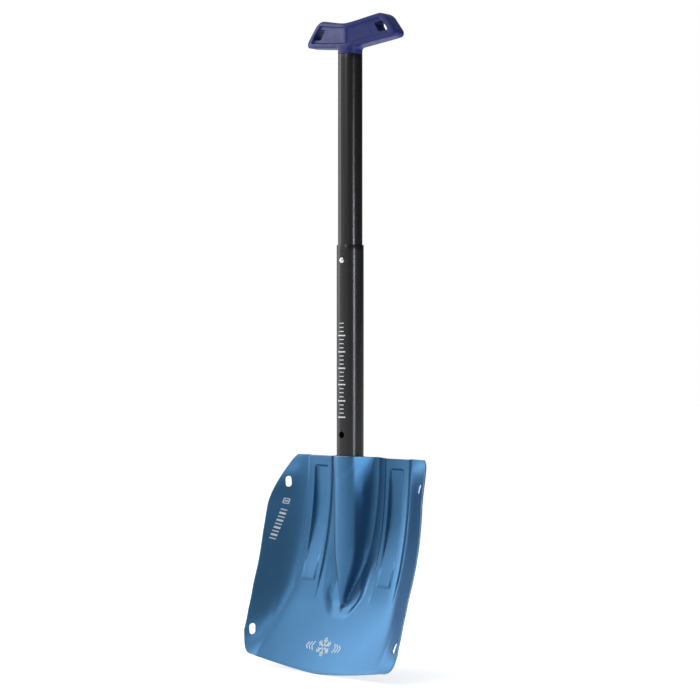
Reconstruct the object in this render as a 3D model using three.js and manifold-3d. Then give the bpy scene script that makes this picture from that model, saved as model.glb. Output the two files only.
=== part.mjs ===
// Avalanche shovel with a two-stage shaft, in millimetres.
// X runs across the blade, Y from the scoop's open face (-Y) to its back, Z up along the shaft.
// Pieces are drawn with the shaft's axis on the Z axis and the blade's lip at Z = 0, then the
// whole shovel is moved so that the origin is the middle of the underside of its box.
import * as THREE from 'three';
import { mergeVertices } from 'three/addons/utils/BufferGeometryUtils.js';
import Module from 'manifold-3d';

const wasm = await Module();
wasm.setup();

// ---- clearances ----
const GAP = 0.3;
const BORE_CLEARANCE = 0.3;

// ---- blade height and the depth of the shaft in it ----
const BLADE_TOP = 258;
const SOCKET_DEPTH = 90;

// ---- shaft ----
const SECTION_POWER = 2.5;
const LOWER_HALF_X = 15;
const LOWER_HALF_Y = 16;
const TUBE_WALL = 1.2;
const LOWER_LENGTH = 348;
const TUBE_OVERLAP = 75;
const UPPER_LENGTH = 307;
const LOWER_BOTTOM = BLADE_TOP - SOCKET_DEPTH;
const LOWER_TOP = LOWER_BOTTOM + LOWER_LENGTH;
const UPPER_HALF_X = LOWER_HALF_X - TUBE_WALL - BORE_CLEARANCE;
const UPPER_HALF_Y = LOWER_HALF_Y - TUBE_WALL - BORE_CLEARANCE;
const UPPER_BOTTOM = LOWER_TOP - TUBE_OVERLAP;
const UPPER_TOP = UPPER_BOTTOM + UPPER_LENGTH;

// ---- end plugs ----
const PLUG_BODY = 12;
const PLUG_FLANGE = 2.4;

// ---- lock buttons ----
const BUTTON_R = 3.8;
const BUTTON_CLEARANCE = 0.3;
const BUTTON_HOLE_R = BUTTON_R + BUTTON_CLEARANCE;
const BUTTON_PROUD = 1.2;
const BUTTON_FLANGE_R = 5.4;
const BUTTON_FLANGE = 1;
const EXTENSION_BUTTON_DOWN = 19;
const BLADE_BUTTON_DOWN = 50;
const EXTENSION_BUTTON_Z = LOWER_TOP - EXTENSION_BUTTON_DOWN;
const BLADE_BUTTON_Z = BLADE_TOP - BLADE_BUTTON_DOWN;
const SPRING_WIDTH = 7;
const SPRING_THICK = 0.8;
const SPRING_SEAT = 0.1;
const SPRING_BELOW = 31;
const SPRING_ABOVE = 8;

// Pushed in, the upper tube's plug stops this far above the blade button's spring.
const STOP_ROOM = 10.3;
const TRAVEL = UPPER_BOTTOM - GAP - PLUG_FLANGE - STOP_ROOM - SPRING_ABOVE - BLADE_BUTTON_Z;

// ---- blade ----
const SHEET = 2;
const SCOOP_BACK = 17;
const SCOOP_DROP = 80;
const SCOOP_POWER = 2.27;
const EDGE_CURL = 11;
const LIP_RISE = 12.4;
const LIP_BASE = 1.2;
const WING_SLOPE = 0.74;
const WING_ROUND = 5;
const SHOULDER_DOWN = 63;
const VALLEY_DEPTH = 4.5;
const VALLEY_FLANK = 11;
const RIDGE_FLANK = 1.1;
const RIDGE_HALF = LOWER_HALF_X + GAP + SHEET + RIDGE_FLANK;
const RIDGE_CREST = LOWER_HALF_Y + GAP + SHEET;
const RIDGE_TANGENT = 0.924;
const RIDGE_BLEND = 5;

// Across half of the blade: ridge, valley, raised band with its panel, then the wing.
const VALLEY_WIDTH = 24.6;
const BAND_MARGIN_INNER = 6.5;
const PANEL_WIDTH = 23;
const BAND_MARGIN_OUTER = 10.5;
const WING_WIDTH = 43.2;
const BAND_INNER = RIDGE_HALF + VALLEY_WIDTH;
const PANEL_INNER = BAND_INNER + BAND_MARGIN_INNER;
const PANEL_OUTER = PANEL_INNER + PANEL_WIDTH;
const BAND_OUTER = PANEL_OUTER + BAND_MARGIN_OUTER;
const BLADE_HALF = BAND_OUTER + WING_WIDTH;
const BAND_RAISE = 1.8;
const BAND_WALL = 3;
const PANEL_WALL = 3.5;
const PANEL_BOTTOM = 104;
const PANEL_DOWN = 13;
const PANEL_TOP = BLADE_TOP - PANEL_DOWN;
const LIP_CORNER = 29.2;
const EDGE_HALF = BLADE_HALF - LIP_CORNER;
const FOLD_UPPER_IN = 42.2;
const FOLD_LOWER_IN = 26.2;
const FOLD_UPPER = BLADE_HALF - FOLD_UPPER_IN;
const FOLD_LOWER = BLADE_HALF - FOLD_LOWER_IN;
const SLOT_HALF_WIDTH = 4;
const SLOT_LENGTH = 14;
const SLOT_UPPER = [BLADE_HALF - 20.2, BLADE_TOP - 35];
const SLOT_LOWER = [BLADE_HALF - 11.2, 43];
const SLOT_LEAN = 0.12;

// ---- socket back ----
const SOCKET_WALL = 2;
const SOCKET_FLANGE = 19;
const SOCKET_HALF = LOWER_HALF_X + SOCKET_FLANGE;
const SOCKET_BOTTOM = LOWER_BOTTOM + 3;
const SOCKET_TOP = BLADE_TOP - 3;
const SOCKET_FRONT = -2;

// ---- grip ----
const GRIP_HALF = 61;
const GRIP_ABOVE = 22.5;
const GRIP_CENTRE_Z = UPPER_TOP + GRIP_ABOVE;
const GRIP_RISE = 0.163;
const GRIP_HALF_HEIGHT = 15.4;
const GRIP_FRONT = -11.5;
const GRIP_SWEEP = 0.19;
const GRIP_BACK = 12.5;
const GRIP_BACK_SWEEP = 0.11;
const GRIP_LEAN = 0.76;
const GRIP_RECESS = 2.6;
const GRIP_RIM = 4.6;
const GRIP_FACE = 3.6;
const GRIP_WALL = 3.6;
const GRIP_OPEN_LENGTH = 14;
const GRIP_OPEN_OUT = GRIP_HALF - 4;
const GRIP_OPEN_IN = GRIP_OPEN_OUT - GRIP_OPEN_LENGTH;
const GRIP_OPEN_HALF = 6.5;
const GRIP_CAP = 3.4;
const SPIGOT_LENGTH = 48;
const RIVET_DOWN = 14;
const RIVET_Z = UPPER_TOP - RIVET_DOWN;
const RIVET_R = 2.4;
const RIVET_HEAD_R = 4.2;
const RIVET_HEAD = 1.1;

// ---------- small helpers ----------
const clamp = (v, lo, hi) => Math.min(hi, Math.max(lo, v));
const lerp = (a, b, k) => a + (b - a) * k;
const smooth = (lo, hi, v) => {
  const k = clamp((v - lo) / (hi - lo), 0, 1);
  return k * k * (3 - 2 * k);
};
const softMin = (a, b, k) => {
  const h = clamp(0.5 + 0.5 * (b - a) / k, 0, 1);
  return lerp(b, a, h) - k * h * (1 - h);
};
function table(rows, v) {
  if (v <= rows[0][0]) return rows[0][1];
  for (let i = 1; i < rows.length; i += 1) {
    if (v <= rows[i][0]) {
      const [v0, a] = rows[i - 1];
      const [v1, b] = rows[i];
      return lerp(a, b, (v - v0) / (v1 - v0));
    }
  }
  return rows[rows.length - 1][1];
}

// ---------- solids ----------
function toSolid(geometry) {
  const plain = geometry.clone();
  for (const name of Object.keys(plain.attributes)) {
    if (name !== 'position') plain.deleteAttribute(name);
  }
  const merged = mergeVertices(plain, 1e-4);
  const mesh = new wasm.Mesh({
    numProp: 3,
    vertProperties: new Float32Array(merged.attributes.position.array),
    triVerts: new Uint32Array(merged.index.array),
  });
  mesh.merge();
  return new wasm.Manifold(mesh);
}

function toGeometry(solid) {
  const mesh = solid.getMesh();
  const geometry = new THREE.BufferGeometry();
  const position = new THREE.BufferAttribute(new Float32Array(mesh.vertProperties), 3);
  geometry.setAttribute('position', position);
  geometry.setIndex(new THREE.BufferAttribute(new Uint32Array(mesh.triVerts), 1));
  const flat = geometry.toNonIndexed();
  flat.computeVertexNormals();
  return flat;
}

// Closed skin through rings of equal point count, capped at both ends.
function loft(rings) {
  const count = rings[0].length;
  const points = rings.flat();
  const index = [];
  for (let r = 0; r + 1 < rings.length; r += 1) {
    for (let i = 0; i < count; i += 1) {
      const j = (i + 1) % count;
      const a = r * count + i;
      const b = r * count + j;
      index.push(a, b, b + count, a, b + count, a + count);
    }
  }
  const addCap = (ring, start, flip) => {
    const centre = new THREE.Vector3();
    ring.forEach((p) => centre.add(new THREE.Vector3(...p)));
    centre.divideScalar(count);
    points.push(centre.toArray());
    const hub = points.length - 1;
    for (let i = 0; i < count; i += 1) {
      const j = (i + 1) % count;
      if (flip) index.push(hub, start + j, start + i);
      else index.push(hub, start + i, start + j);
    }
  };
  addCap(rings[0], 0, true);
  addCap(rings[rings.length - 1], (rings.length - 1) * count, false);
  const geometry = new THREE.BufferGeometry();
  geometry.setAttribute('position', new THREE.Float32BufferAttribute(points.flat(), 3));
  geometry.setIndex(index);
  return geometry;
}

// Ring of the shaft's section: a rounded square, counter-clockwise seen from above.
function ovalRing(halfX, halfY, z, count = 36) {
  const ring = [];
  for (let i = 0; i < count; i += 1) {
    const angle = 2 * Math.PI * i / count;
    const c = Math.cos(angle);
    const s = Math.sin(angle);
    const radius = (Math.abs(c / halfX) ** SECTION_POWER + Math.abs(s / halfY) ** SECTION_POWER)
      ** (-1 / SECTION_POWER);
    ring.push([radius * c, radius * s, z]);
  }
  return ring;
}

function ovalPrism(halfX, halfY, z0, z1) {
  return toSolid(loft([ovalRing(halfX, halfY, z0), ovalRing(halfX, halfY, z1)]));
}

// How far out along Y an oval's wall stands at a distance x from its middle.
const wallAt = (halfX, halfY, x) => halfY
  * (1 - (x / halfX) ** SECTION_POWER) ** (1 / SECTION_POWER);

// Round bar along Y between two Y values.
function barY(radius, x, z, y0, y1, count = 24) {
  const geometry = new THREE.CylinderGeometry(radius, radius, y1 - y0, count);
  geometry.translate(x, (y0 + y1) / 2, z);
  return toSolid(geometry);
}

function box(x0, y0, z0, x1, y1, z1) {
  const geometry = new THREE.BoxGeometry(x1 - x0, y1 - y0, z1 - z0);
  geometry.translate((x0 + x1) / 2, (y0 + y1) / 2, (z0 + z1) / 2);
  return toSolid(geometry);
}

// ---------- blade surface ----------
// The wing's edge: share of the way up, how far in from the widest point, and the height, which
// is measured up from the lip where it is positive and down from the blade's top where negative.
const SIDE = [
  [0, 24.2, 13.2], [0.02, 15.2, 14.2], [0.05, 9.4, 17.4], [0.09, 5.9, 23], [0.13, 3.5, 31],
  [0.18, 1.9, 41], [0.24, 1.8, 55], [0.3, 1.6, 78], [0.385, 1, 101], [0.5, 0.4, -128],
  [0.6, 0, -100], [0.68, 0.5, -82], [0.745, 1.5, -65], [0.8, 4, -50.5], [0.855, 7.6, -36],
  [0.895, 10.8, -25.5], [0.937, 14.6, -15], [0.975, 18.6, -6], [1, 23.2, -0.8],
];
const sideX = (t) => table(SIDE.map(([v, inset]) => [v, BLADE_HALF - inset]), t);
const sideZ = (t) => table(SIDE.map(([v, , z]) => [v, z > 0 ? z : BLADE_TOP + z]), t);

const lipZ = (a) => LIP_BASE + (LIP_RISE - LIP_BASE) * (a / EDGE_HALF) ** 1.5;
const topZ = (a) => BLADE_TOP - 1.1 * smooth(BAND_INNER - 17, BAND_INNER + 3, a)
  + 1.1 * smooth(BAND_OUTER - 5, BAND_OUTER + 7, a)
  + 1.5 * smooth(RIDGE_HALF + 7.6, RIDGE_HALF - 0.4, a);

// Depth of the panel by share of its height; strength of the wing's fold by height above the
// lip; half width of the valley, less than its full width, by height above the lip.
const PANEL_SINK = [[0, -2.2], [0.17, 0.8], [0.326, 2.8], [0.482, 3.6], [0.645, 3.6],
  [0.823, 3], [1, 2.2]];
const WING_FADE = [[12, 0], [28, 0.4], [43, 0.73], [67, 0.93], [95, 1]];
const VALLEY_NARROW = [[64, 29], [70, 21], [92, 8], [130, 0]];
const VALLEY_HALF = BAND_INNER - 2;

// Width of the ridge, as a share of its full width, by height from the shaft's end.
const RIDGE_TAPER = [[-108, 0.12], [-94, 0.16], [-82, 0.27], [-67, 0.47], [-50, 0.74],
  [-36, 0.91], [-22, 0.99], [-12, 1]];

function floorY(z) {
  const drop = clamp((BLADE_TOP - z) / BLADE_TOP, 0, 1.1);
  return SCOOP_BACK - SCOOP_DROP * drop ** SCOOP_POWER;
}

// Below the shaft's end the ridge narrows to a keel.
function ridgeY(a, z) {
  const profile = (k) => -RIDGE_CREST * (1 - k ** SECTION_POWER) ** (1 / SECTION_POWER);
  const k = a / (RIDGE_HALF * table(RIDGE_TAPER, z - LOWER_BOTTOM));
  if (k <= RIDGE_TANGENT) return profile(k);
  const step = 1e-3;
  const slope = (profile(RIDGE_TANGENT) - profile(RIDGE_TANGENT - step)) / step;
  return profile(RIDGE_TANGENT) + slope * (k - RIDGE_TANGENT);
}

// Front face of the sheet: Y at a point of the blade.
function frontY(x, z) {
  const a = Math.abs(x);
  let y = floorY(z);
  y -= EDGE_CURL * (Math.min(a, EDGE_HALF) / EDGE_HALF) ** 2 * smooth(130, 0, z);
  const band = smooth(BAND_INNER - 1, BAND_INNER - 1 + BAND_WALL, a)
    * smooth(BAND_OUTER + 0.5, BAND_OUTER + 0.5 - BAND_WALL, a);
  y -= BAND_RAISE * band * smooth(78, 118, z);
  const panel = smooth(PANEL_INNER, PANEL_INNER + PANEL_WALL, a)
    * smooth(PANEL_OUTER, PANEL_OUTER - PANEL_WALL, a)
    * smooth(PANEL_BOTTOM - 0.5, PANEL_BOTTOM + 3, z) * smooth(PANEL_TOP + 0.5, PANEL_TOP - 3, z);
  y += table(PANEL_SINK, (z - PANEL_BOTTOM) / (PANEL_TOP - PANEL_BOTTOM)) * panel;
  const half = VALLEY_HALF - table(VALLEY_NARROW, z);
  y += VALLEY_DEPTH * smooth(half, half - VALLEY_FLANK, a) * smooth(62, 84, z);
  const fold = lerp(FOLD_LOWER, FOLD_UPPER, smooth(20, 115, z));
  const over = (a - fold) / WING_ROUND;
  const bend = WING_ROUND * (over > 20 ? over : Math.log1p(Math.exp(over)));
  const shoulder = 1 - clamp((z - BLADE_TOP) / SHOULDER_DOWN + 1, 0, 1) ** 2.2;
  y -= WING_SLOPE * bend * shoulder * table(WING_FADE, z);
  return softMin(y, ridgeY(a, z), RIDGE_BLEND);
}

function backNormal(x, z) {
  const h = 0.6;
  const dx = (frontY(x + h, z) - frontY(x - h, z)) / (2 * h);
  const dz = (frontY(x, z + h) - frontY(x, z - h)) / (2 * h);
  return new THREE.Vector3(-dx, 1, -dz).normalize();
}

// Back face of the sheet, measured along Y.
function backY(x, z) {
  return frontY(x, z) + SHEET / Math.max(0.36, backNormal(x, z).y);
}

const COLUMNS = [
  0, LOWER_HALF_X - 8, LOWER_HALF_X - 3, LOWER_HALF_X, RIDGE_HALF - 0.9, RIDGE_HALF + 2.1,
  RIDGE_HALF + 5.6, RIDGE_HALF + 9.1, RIDGE_HALF + 14.6, BAND_INNER - 1.5, BAND_INNER + 1.7,
  PANEL_INNER, PANEL_INNER + PANEL_WALL, PANEL_OUTER - PANEL_WALL, PANEL_OUTER,
  BAND_OUTER - 2.8, BAND_OUTER + 0.5,
];
const WING_COLUMNS = [0.14, 0.36, 0.66, 1];
const rowAt = (z) => (z - lipZ(PANEL_INNER)) / (BLADE_TOP - lipZ(PANEL_INNER));
const ROWS = [
  0, 0.02, 0.05, 0.09, 0.13, 0.18, 0.24, 0.3, 0.345, rowAt(PANEL_BOTTOM), rowAt(PANEL_BOTTOM + 4),
  0.45, 0.5, 0.55, 0.6, 0.65, 0.7, 0.745, 0.79, 0.835, 0.88, rowAt(PANEL_TOP - 3.8),
  rowAt(PANEL_TOP), 0.975, 1,
].sort((a, b) => a - b);

function bladePoint(column, t) {
  const inner = COLUMNS[COLUMNS.length - 1];
  if (column < COLUMNS.length) {
    const a = COLUMNS[column];
    return [a, lerp(lipZ(a), topZ(a), t)];
  }
  const k = WING_COLUMNS[column - COLUMNS.length];
  return [
    lerp(inner, sideX(t), k),
    lerp(lerp(lipZ(inner), topZ(inner), t), sideZ(t), k),
  ];
}

function bladeSheet() {
  const half = COLUMNS.length + WING_COLUMNS.length;
  const width = 2 * half - 1;
  const front = [];
  const back = [];
  for (const t of ROWS) {
    for (let c = 0; c < width; c += 1) {
      const side = c - (half - 1);
      const [a, z] = bladePoint(Math.abs(side), t);
      const x = Math.sign(side) * a;
      const y = frontY(x, z);
      const n = backNormal(x, z);
      front.push([x, y, z]);
      back.push([x + SHEET * n.x, y + SHEET * n.y, z + SHEET * n.z]);
    }
  }
  const points = [...front, ...back];
  const shift = front.length;
  const index = [];
  const quad = (a, b, c, d) => index.push(a, b, c, a, c, d);
  for (let r = 0; r + 1 < ROWS.length; r += 1) {
    for (let c = 0; c + 1 < width; c += 1) {
      const a = r * width + c;
      const b = a + 1;
      quad(a, b, b + width, a + width);
      quad(shift + a, shift + a + width, shift + b + width, shift + b);
    }
    const left = r * width;
    const right = left + width - 1;
    quad(left, left + width, shift + left + width, shift + left);
    quad(right, shift + right, shift + right + width, right + width);
  }
  const last = (ROWS.length - 1) * width;
  for (let c = 0; c + 1 < width; c += 1) {
    quad(c, shift + c, shift + c + 1, c + 1);
    quad(last + c, last + c + 1, shift + last + c + 1, shift + last + c);
  }
  const geometry = new THREE.BufferGeometry();
  geometry.setAttribute('position', new THREE.Float32BufferAttribute(points.flat(), 3));
  geometry.setIndex(index);
  return toSolid(geometry);
}

// Rounded slot through a wing, cut square to the sheet.
function slotCutter(x, z) {
  const shape = new THREE.Shape();
  const straight = SLOT_LENGTH / 2 - SLOT_HALF_WIDTH;
  shape.absarc(0, straight, SLOT_HALF_WIDTH, 0, Math.PI, false);
  shape.absarc(0, -straight, SLOT_HALF_WIDTH, Math.PI, 2 * Math.PI, false);
  shape.closePath();
  const geometry = new THREE.ExtrudeGeometry(shape, {
    depth: 20, bevelEnabled: false, curveSegments: 6,
  });
  geometry.translate(0, 0, -10);
  const depth = backNormal(x, z);
  const up = new THREE.Vector3(Math.sign(x) * SLOT_LEAN, 0, 1);
  up.addScaledVector(depth, -up.dot(depth)).normalize();
  const across = new THREE.Vector3().crossVectors(up, depth);
  const turn = new THREE.Matrix4().makeBasis(across, up, depth);
  turn.setPosition(x, frontY(x, z), z);
  geometry.applyMatrix4(turn);
  return toSolid(geometry);
}

function makeBlade() {
  let solid = bladeSheet();
  for (const side of [-1, 1]) {
    for (const [x, z] of [SLOT_UPPER, SLOT_LOWER]) {
      solid = solid.subtract(slotCutter(side * x, z));
    }
  }
  return solid;
}

// ---------- socket back ----------
function makeSocketBack() {
  const inside = [0, LOWER_HALF_X - 9, LOWER_HALF_X - 5, LOWER_HALF_X - 2];
  const beside = [0.5, 2.5, 4.5, 7, 9.5, 12, 15, SOCKET_FLANGE].map((v) => LOWER_HALF_X + v);
  const stations = [...inside, ...beside];
  const levels = 9;
  const outerX = LOWER_HALF_X + GAP + SOCKET_WALL;
  const outerY = LOWER_HALF_Y + GAP + SOCKET_WALL;
  const outerRear = (a) => outerY * Math.max(0, 1 - (a / outerX) ** SECTION_POWER)
    ** (1 / SECTION_POWER);
  const rings = [];
  for (let i = 0; i <= levels; i += 1) {
    const z = lerp(SOCKET_BOTTOM, SOCKET_TOP, i / levels);
    const flat = backY(SOCKET_HALF - 2, z);
    const frontLine = [];
    const rearLine = [];
    for (const a of stations) {
      frontLine.push([a, Math.max(backY(a, z) + GAP + 0.25, SOCKET_FRONT), z]);
      const plate = flat + GAP + SOCKET_WALL + 0.3;
      const hug = outerRear(a);
      const turn = smooth(LOWER_HALF_X - 7, LOWER_HALF_X + 5, a);
      rearLine.push([a, Math.max(hug, lerp(hug, plate, turn)), z]);
    }
    const mirror = (line) => line.slice(1).reverse().map(([a, y, h]) => [-a, y, h]);
    const ring = [...mirror(frontLine), ...frontLine];
    ring.push(...rearLine.slice().reverse(), ...mirror(rearLine).reverse());
    rings.push(ring);
  }
  // Strip skin: each level is a closed outline, joined level to level and capped with strips.
  const count = rings[0].length;
  const span = stations.length * 2 - 1;
  const points = rings.flat();
  const index = [];
  for (let r = 0; r < levels; r += 1) {
    for (let i = 0; i < count; i += 1) {
      const j = (i + 1) % count;
      const a = r * count + i;
      const b = r * count + j;
      index.push(a, b, b + count, a, b + count, a + count);
    }
  }
  const top = levels * count;
  for (let i = 0; i + 1 < span; i += 1) {
    const rear = count - 1 - i;
    index.push(i, rear, rear - 1, i, rear - 1, i + 1);
    index.push(top + i, top + rear - 1, top + rear, top + i, top + i + 1, top + rear - 1);
  }
  const geometry = new THREE.BufferGeometry();
  geometry.setAttribute('position', new THREE.Float32BufferAttribute(points.flat(), 3));
  geometry.setIndex(index);
  const well = ovalPrism(LOWER_HALF_X + GAP, LOWER_HALF_Y + GAP, SOCKET_BOTTOM - 5, SOCKET_TOP + 5);
  const hole = barY(BUTTON_HOLE_R, 0, BLADE_BUTTON_Z, 5, 40);
  return toSolid(geometry).subtract(well).subtract(hole);
}

// ---------- shaft tubes ----------
function makeLowerTube() {
  const inside = [LOWER_HALF_X - TUBE_WALL, LOWER_HALF_Y - TUBE_WALL];
  return ovalPrism(LOWER_HALF_X, LOWER_HALF_Y, LOWER_BOTTOM, LOWER_TOP)
    .subtract(ovalPrism(...inside, LOWER_BOTTOM - 1, LOWER_TOP + 1))
    .subtract(barY(BUTTON_HOLE_R, 0, EXTENSION_BUTTON_Z, -30, -5))
    .subtract(barY(BUTTON_HOLE_R, 0, EXTENSION_BUTTON_Z - TRAVEL, -30, -5))
    .subtract(barY(BUTTON_HOLE_R, 0, BLADE_BUTTON_Z, 5, 30));
}

function makeUpperTube() {
  const inside = [UPPER_HALF_X - TUBE_WALL, UPPER_HALF_Y - TUBE_WALL];
  return ovalPrism(UPPER_HALF_X, UPPER_HALF_Y, UPPER_BOTTOM, UPPER_TOP)
    .subtract(ovalPrism(...inside, UPPER_BOTTOM - 1, UPPER_TOP + 1))
    .subtract(barY(BUTTON_HOLE_R, 0, EXTENSION_BUTTON_Z, -30, -5))
    .subtract(barY(RIVET_R + GAP, 0, RIVET_Z, 5, 30));
}

// Plug in the lower end of a tube: flange under the end, body inside the bore.
function endPlug(halfX, halfY, flangeX, flangeY, z) {
  return ovalPrism(halfX - TUBE_WALL - GAP, halfY - TUBE_WALL - GAP, z - GAP - 1, z + PLUG_BODY)
    .add(ovalPrism(flangeX, flangeY, z - GAP - PLUG_FLANGE, z - GAP))
    .subtract(ovalPrism(halfX - 5, halfY - 5, z, z + PLUG_BODY + 1));
}

// ---------- lock buttons ----------
// Height at which a button's flange starts, so that its rim clears the bore.
const buttonBase = (innerX, innerY) => wallAt(innerX, innerY, BUTTON_FLANGE_R) - GAP
  - BUTTON_FLANGE;

// side is the direction along Y in which the crown points.
function makeButton(outerHalf, innerX, innerY, side) {
  const crown = outerHalf + BUTTON_PROUD;
  const base = buttonBase(innerX, innerY);
  const profile = [
    [0, base], [BUTTON_FLANGE_R, base], [BUTTON_FLANGE_R, base + BUTTON_FLANGE],
    [BUTTON_R, base + BUTTON_FLANGE], [BUTTON_R, crown - 1.9], [BUTTON_R * 0.93, crown - 1.1],
    [BUTTON_R * 0.72, crown - 0.5], [BUTTON_R * 0.4, crown - 0.12], [0, crown],
  ].map(([r, h]) => new THREE.Vector2(r, h));
  const geometry = new THREE.LatheGeometry(profile, 24);
  if (side < 0) geometry.rotateX(Math.PI);
  return toSolid(geometry);
}

// V-shaped leaf: one leg behind the button, the other on the opposite wall.
function makeLeafSpring(innerX, innerY, side) {
  const near = buttonBase(innerX, innerY) - GAP - SPRING_THICK;
  const far = SPRING_THICK + SPRING_SEAT - wallAt(innerX, innerY, SPRING_WIDTH / 2);
  const line = [
    [near, SPRING_ABOVE], [near, -SPRING_ABOVE], [3.2, 2.2 - SPRING_BELOW],
    [0, -SPRING_BELOW], [-3.2, 2.2 - SPRING_BELOW], [far, 4 - SPRING_ABOVE],
    [far, SPRING_ABOVE],
  ];
  const outer = [];
  const inner = [];
  line.forEach(([y, h], i) => {
    const [y0, h0] = line[Math.max(0, i - 1)];
    const [y1, h1] = line[Math.min(line.length - 1, i + 1)];
    const run = Math.hypot(y1 - y0, h1 - h0);
    const ny = -(h1 - h0) / run;
    const nh = (y1 - y0) / run;
    outer.push(new THREE.Vector2(y + ny * SPRING_THICK, h + nh * SPRING_THICK));
    inner.push(new THREE.Vector2(y, h));
  });
  const shape = new THREE.Shape([...outer, ...inner.reverse()]);
  const geometry = new THREE.ExtrudeGeometry(shape, { depth: SPRING_WIDTH, bevelEnabled: false });
  geometry.translate(0, 0, -SPRING_WIDTH / 2);
  const turn = new THREE.Matrix4().makeBasis(
    new THREE.Vector3(0, side, 0),
    new THREE.Vector3(0, 0, 1),
    new THREE.Vector3(side, 0, 0),
  );
  geometry.applyMatrix4(turn);
  return toSolid(geometry);
}

// ---------- grip ----------
const bow = (s) => Math.sqrt(s * s + 36) - 6;
const gripZ = (s) => GRIP_CENTRE_Z + GRIP_RISE * bow(s);
const gripFrontY = (s) => GRIP_FRONT + GRIP_SWEEP * bow(s);
const gripBackY = (s) => GRIP_BACK + GRIP_BACK_SWEEP * bow(s);

function gripRing(s, scale, halfHeight, y0, y1, power, count = 24) {
  const lean = GRIP_LEAN * Math.sign(s) * smooth(0, GRIP_HALF, Math.abs(s));
  const ring = [];
  for (let i = 0; i < count; i += 1) {
    const angle = 2 * Math.PI * (i + 0.5) / count;
    const c = Math.cos(angle);
    const d = Math.sin(angle);
    const radius = (Math.abs(c) ** power + Math.abs(d) ** power) ** (-1 / power);
    const rise = halfHeight * scale * radius * d;
    const y = lerp(y0, y1, 0.5) + (y1 - y0) / 2 * scale * radius * c;
    ring.push([s - lean * rise, y, gripZ(s) + rise]);
  }
  return ring;
}

function gripBar(stations, halfHeight, y0, y1, power) {
  return toSolid(loft(stations.map(([s, scale]) => gripRing(
    s, scale, halfHeight, y0(s), y1(s), power,
  ))));
}

function makeGrip() {
  const ends = [[GRIP_HALF + GRIP_CAP, 0.8], [GRIP_HALF + GRIP_CAP * 0.65, 0.93], [GRIP_HALF, 1]];
  const inner = [GRIP_HALF - 17, 26, 12, 5].map((s) => [s, 1]);
  const right = [...ends, ...inner];
  const left = right.map(([s, scale]) => [-s, scale]);
  const bars = [...left, [0, 1], ...right.slice().reverse()];
  let solid = gripBar(bars, GRIP_HALF_HEIGHT, gripFrontY, gripBackY, 4.5);
  const neck = loft([
    ovalRing(UPPER_HALF_X, UPPER_HALF_Y, UPPER_TOP + GAP),
    ovalRing(UPPER_HALF_X, UPPER_HALF_Y, UPPER_TOP + 10),
    ovalRing(UPPER_HALF_X, UPPER_HALF_Y - 1.6, UPPER_TOP + 21),
    ovalRing(UPPER_HALF_X - 2, UPPER_HALF_Y - 4, UPPER_TOP + 27),
  ]);
  const wall = TUBE_WALL + GAP;
  solid = solid.add(toSolid(neck)).add(ovalPrism(
    UPPER_HALF_X - wall, UPPER_HALF_Y - wall, UPPER_TOP - SPIGOT_LENGTH, UPPER_TOP + 5,
  ));
  const span = GRIP_HALF - GRIP_RIM;
  const reach = GRIP_HALF_HEIGHT - GRIP_RIM;
  for (const side of [-1, 1]) {
    const face = [span, GRIP_HALF - 21, 22, 6.5].map((s) => [side * s, 1]);
    if (side < 0) face.reverse();
    face.reverse();
    solid = solid.subtract(gripBar(
      face, reach, (s) => gripFrontY(s) - 6, (s) => gripFrontY(s) + GRIP_RECESS, 8,
    ));
    const hollow = [GRIP_HALF - GRIP_WALL, GRIP_HALF - 21, 17].map((s) => [side * s, 1]);
    if (side < 0) hollow.reverse();
    hollow.reverse();
    solid = solid.subtract(gripBar(
      hollow, GRIP_HALF_HEIGHT - GRIP_WALL,
      (s) => gripFrontY(s) + GRIP_RECESS + GRIP_FACE, (s) => gripBackY(s) + 6, 8,
    ));
    const opening = [GRIP_OPEN_OUT, GRIP_OPEN_IN].map((s) => [side * s, 1]);
    if (side < 0) opening.reverse();
    opening.reverse();
    solid = solid.subtract(gripBar(
      opening, GRIP_OPEN_HALF, (s) => gripFrontY(s) - 6, (s) => gripBackY(s) + 6, 8,
    ));
  }
  const rivetHole = barY(RIVET_R + GAP, 0, RIVET_Z, 2, 30);
  return solid.subtract(rivetHole);
}

function makeRivet() {
  const seat = UPPER_HALF_Y + GAP;
  const profile = [
    [0, 3], [RIVET_R, 3], [RIVET_R, seat], [RIVET_HEAD_R, seat],
    [RIVET_HEAD_R * 0.9, seat + RIVET_HEAD * 0.6], [RIVET_HEAD_R * 0.55, seat + RIVET_HEAD * 0.93],
    [0, seat + RIVET_HEAD],
  ].map(([r, h]) => new THREE.Vector2(r, h));
  return toSolid(new THREE.LatheGeometry(profile, 20));
}

// ---------- assembly ----------
const FINISH = {
  blueSheet: { color: 0x2f6f9f, roughness: 0.38, metalness: 0.85 },
  blackTube: { color: 0x26262a, roughness: 0.42, metalness: 0.6 },
  navyPlastic: { color: 0x28336e, roughness: 0.48, metalness: 0 },
  blackPlastic: { color: 0x1b1b1d, roughness: 0.6, metalness: 0 },
  nickel: { color: 0xc9ccd0, roughness: 0.2, metalness: 1 },
  springSteel: { color: 0x8d9197, roughness: 0.35, metalness: 1 },
};

function piece(name, solid, finish, height = 0) {
  const mesh = new THREE.Mesh(toGeometry(solid), new THREE.MeshStandardMaterial(FINISH[finish]));
  mesh.name = name;
  mesh.position.z = height;
  return mesh;
}

const lowerBore = [LOWER_HALF_X - TUBE_WALL, LOWER_HALF_Y - TUBE_WALL];
const upperBore = [UPPER_HALF_X - TUBE_WALL, UPPER_HALF_Y - TUBE_WALL];
const socketRear = LOWER_HALF_Y + GAP + SOCKET_WALL;

const bladeGroup = new THREE.Group();
bladeGroup.add(
  piece('blade', makeBlade(), 'blueSheet'),
  piece('socket_back', makeSocketBack(), 'blueSheet'),
);

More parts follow.
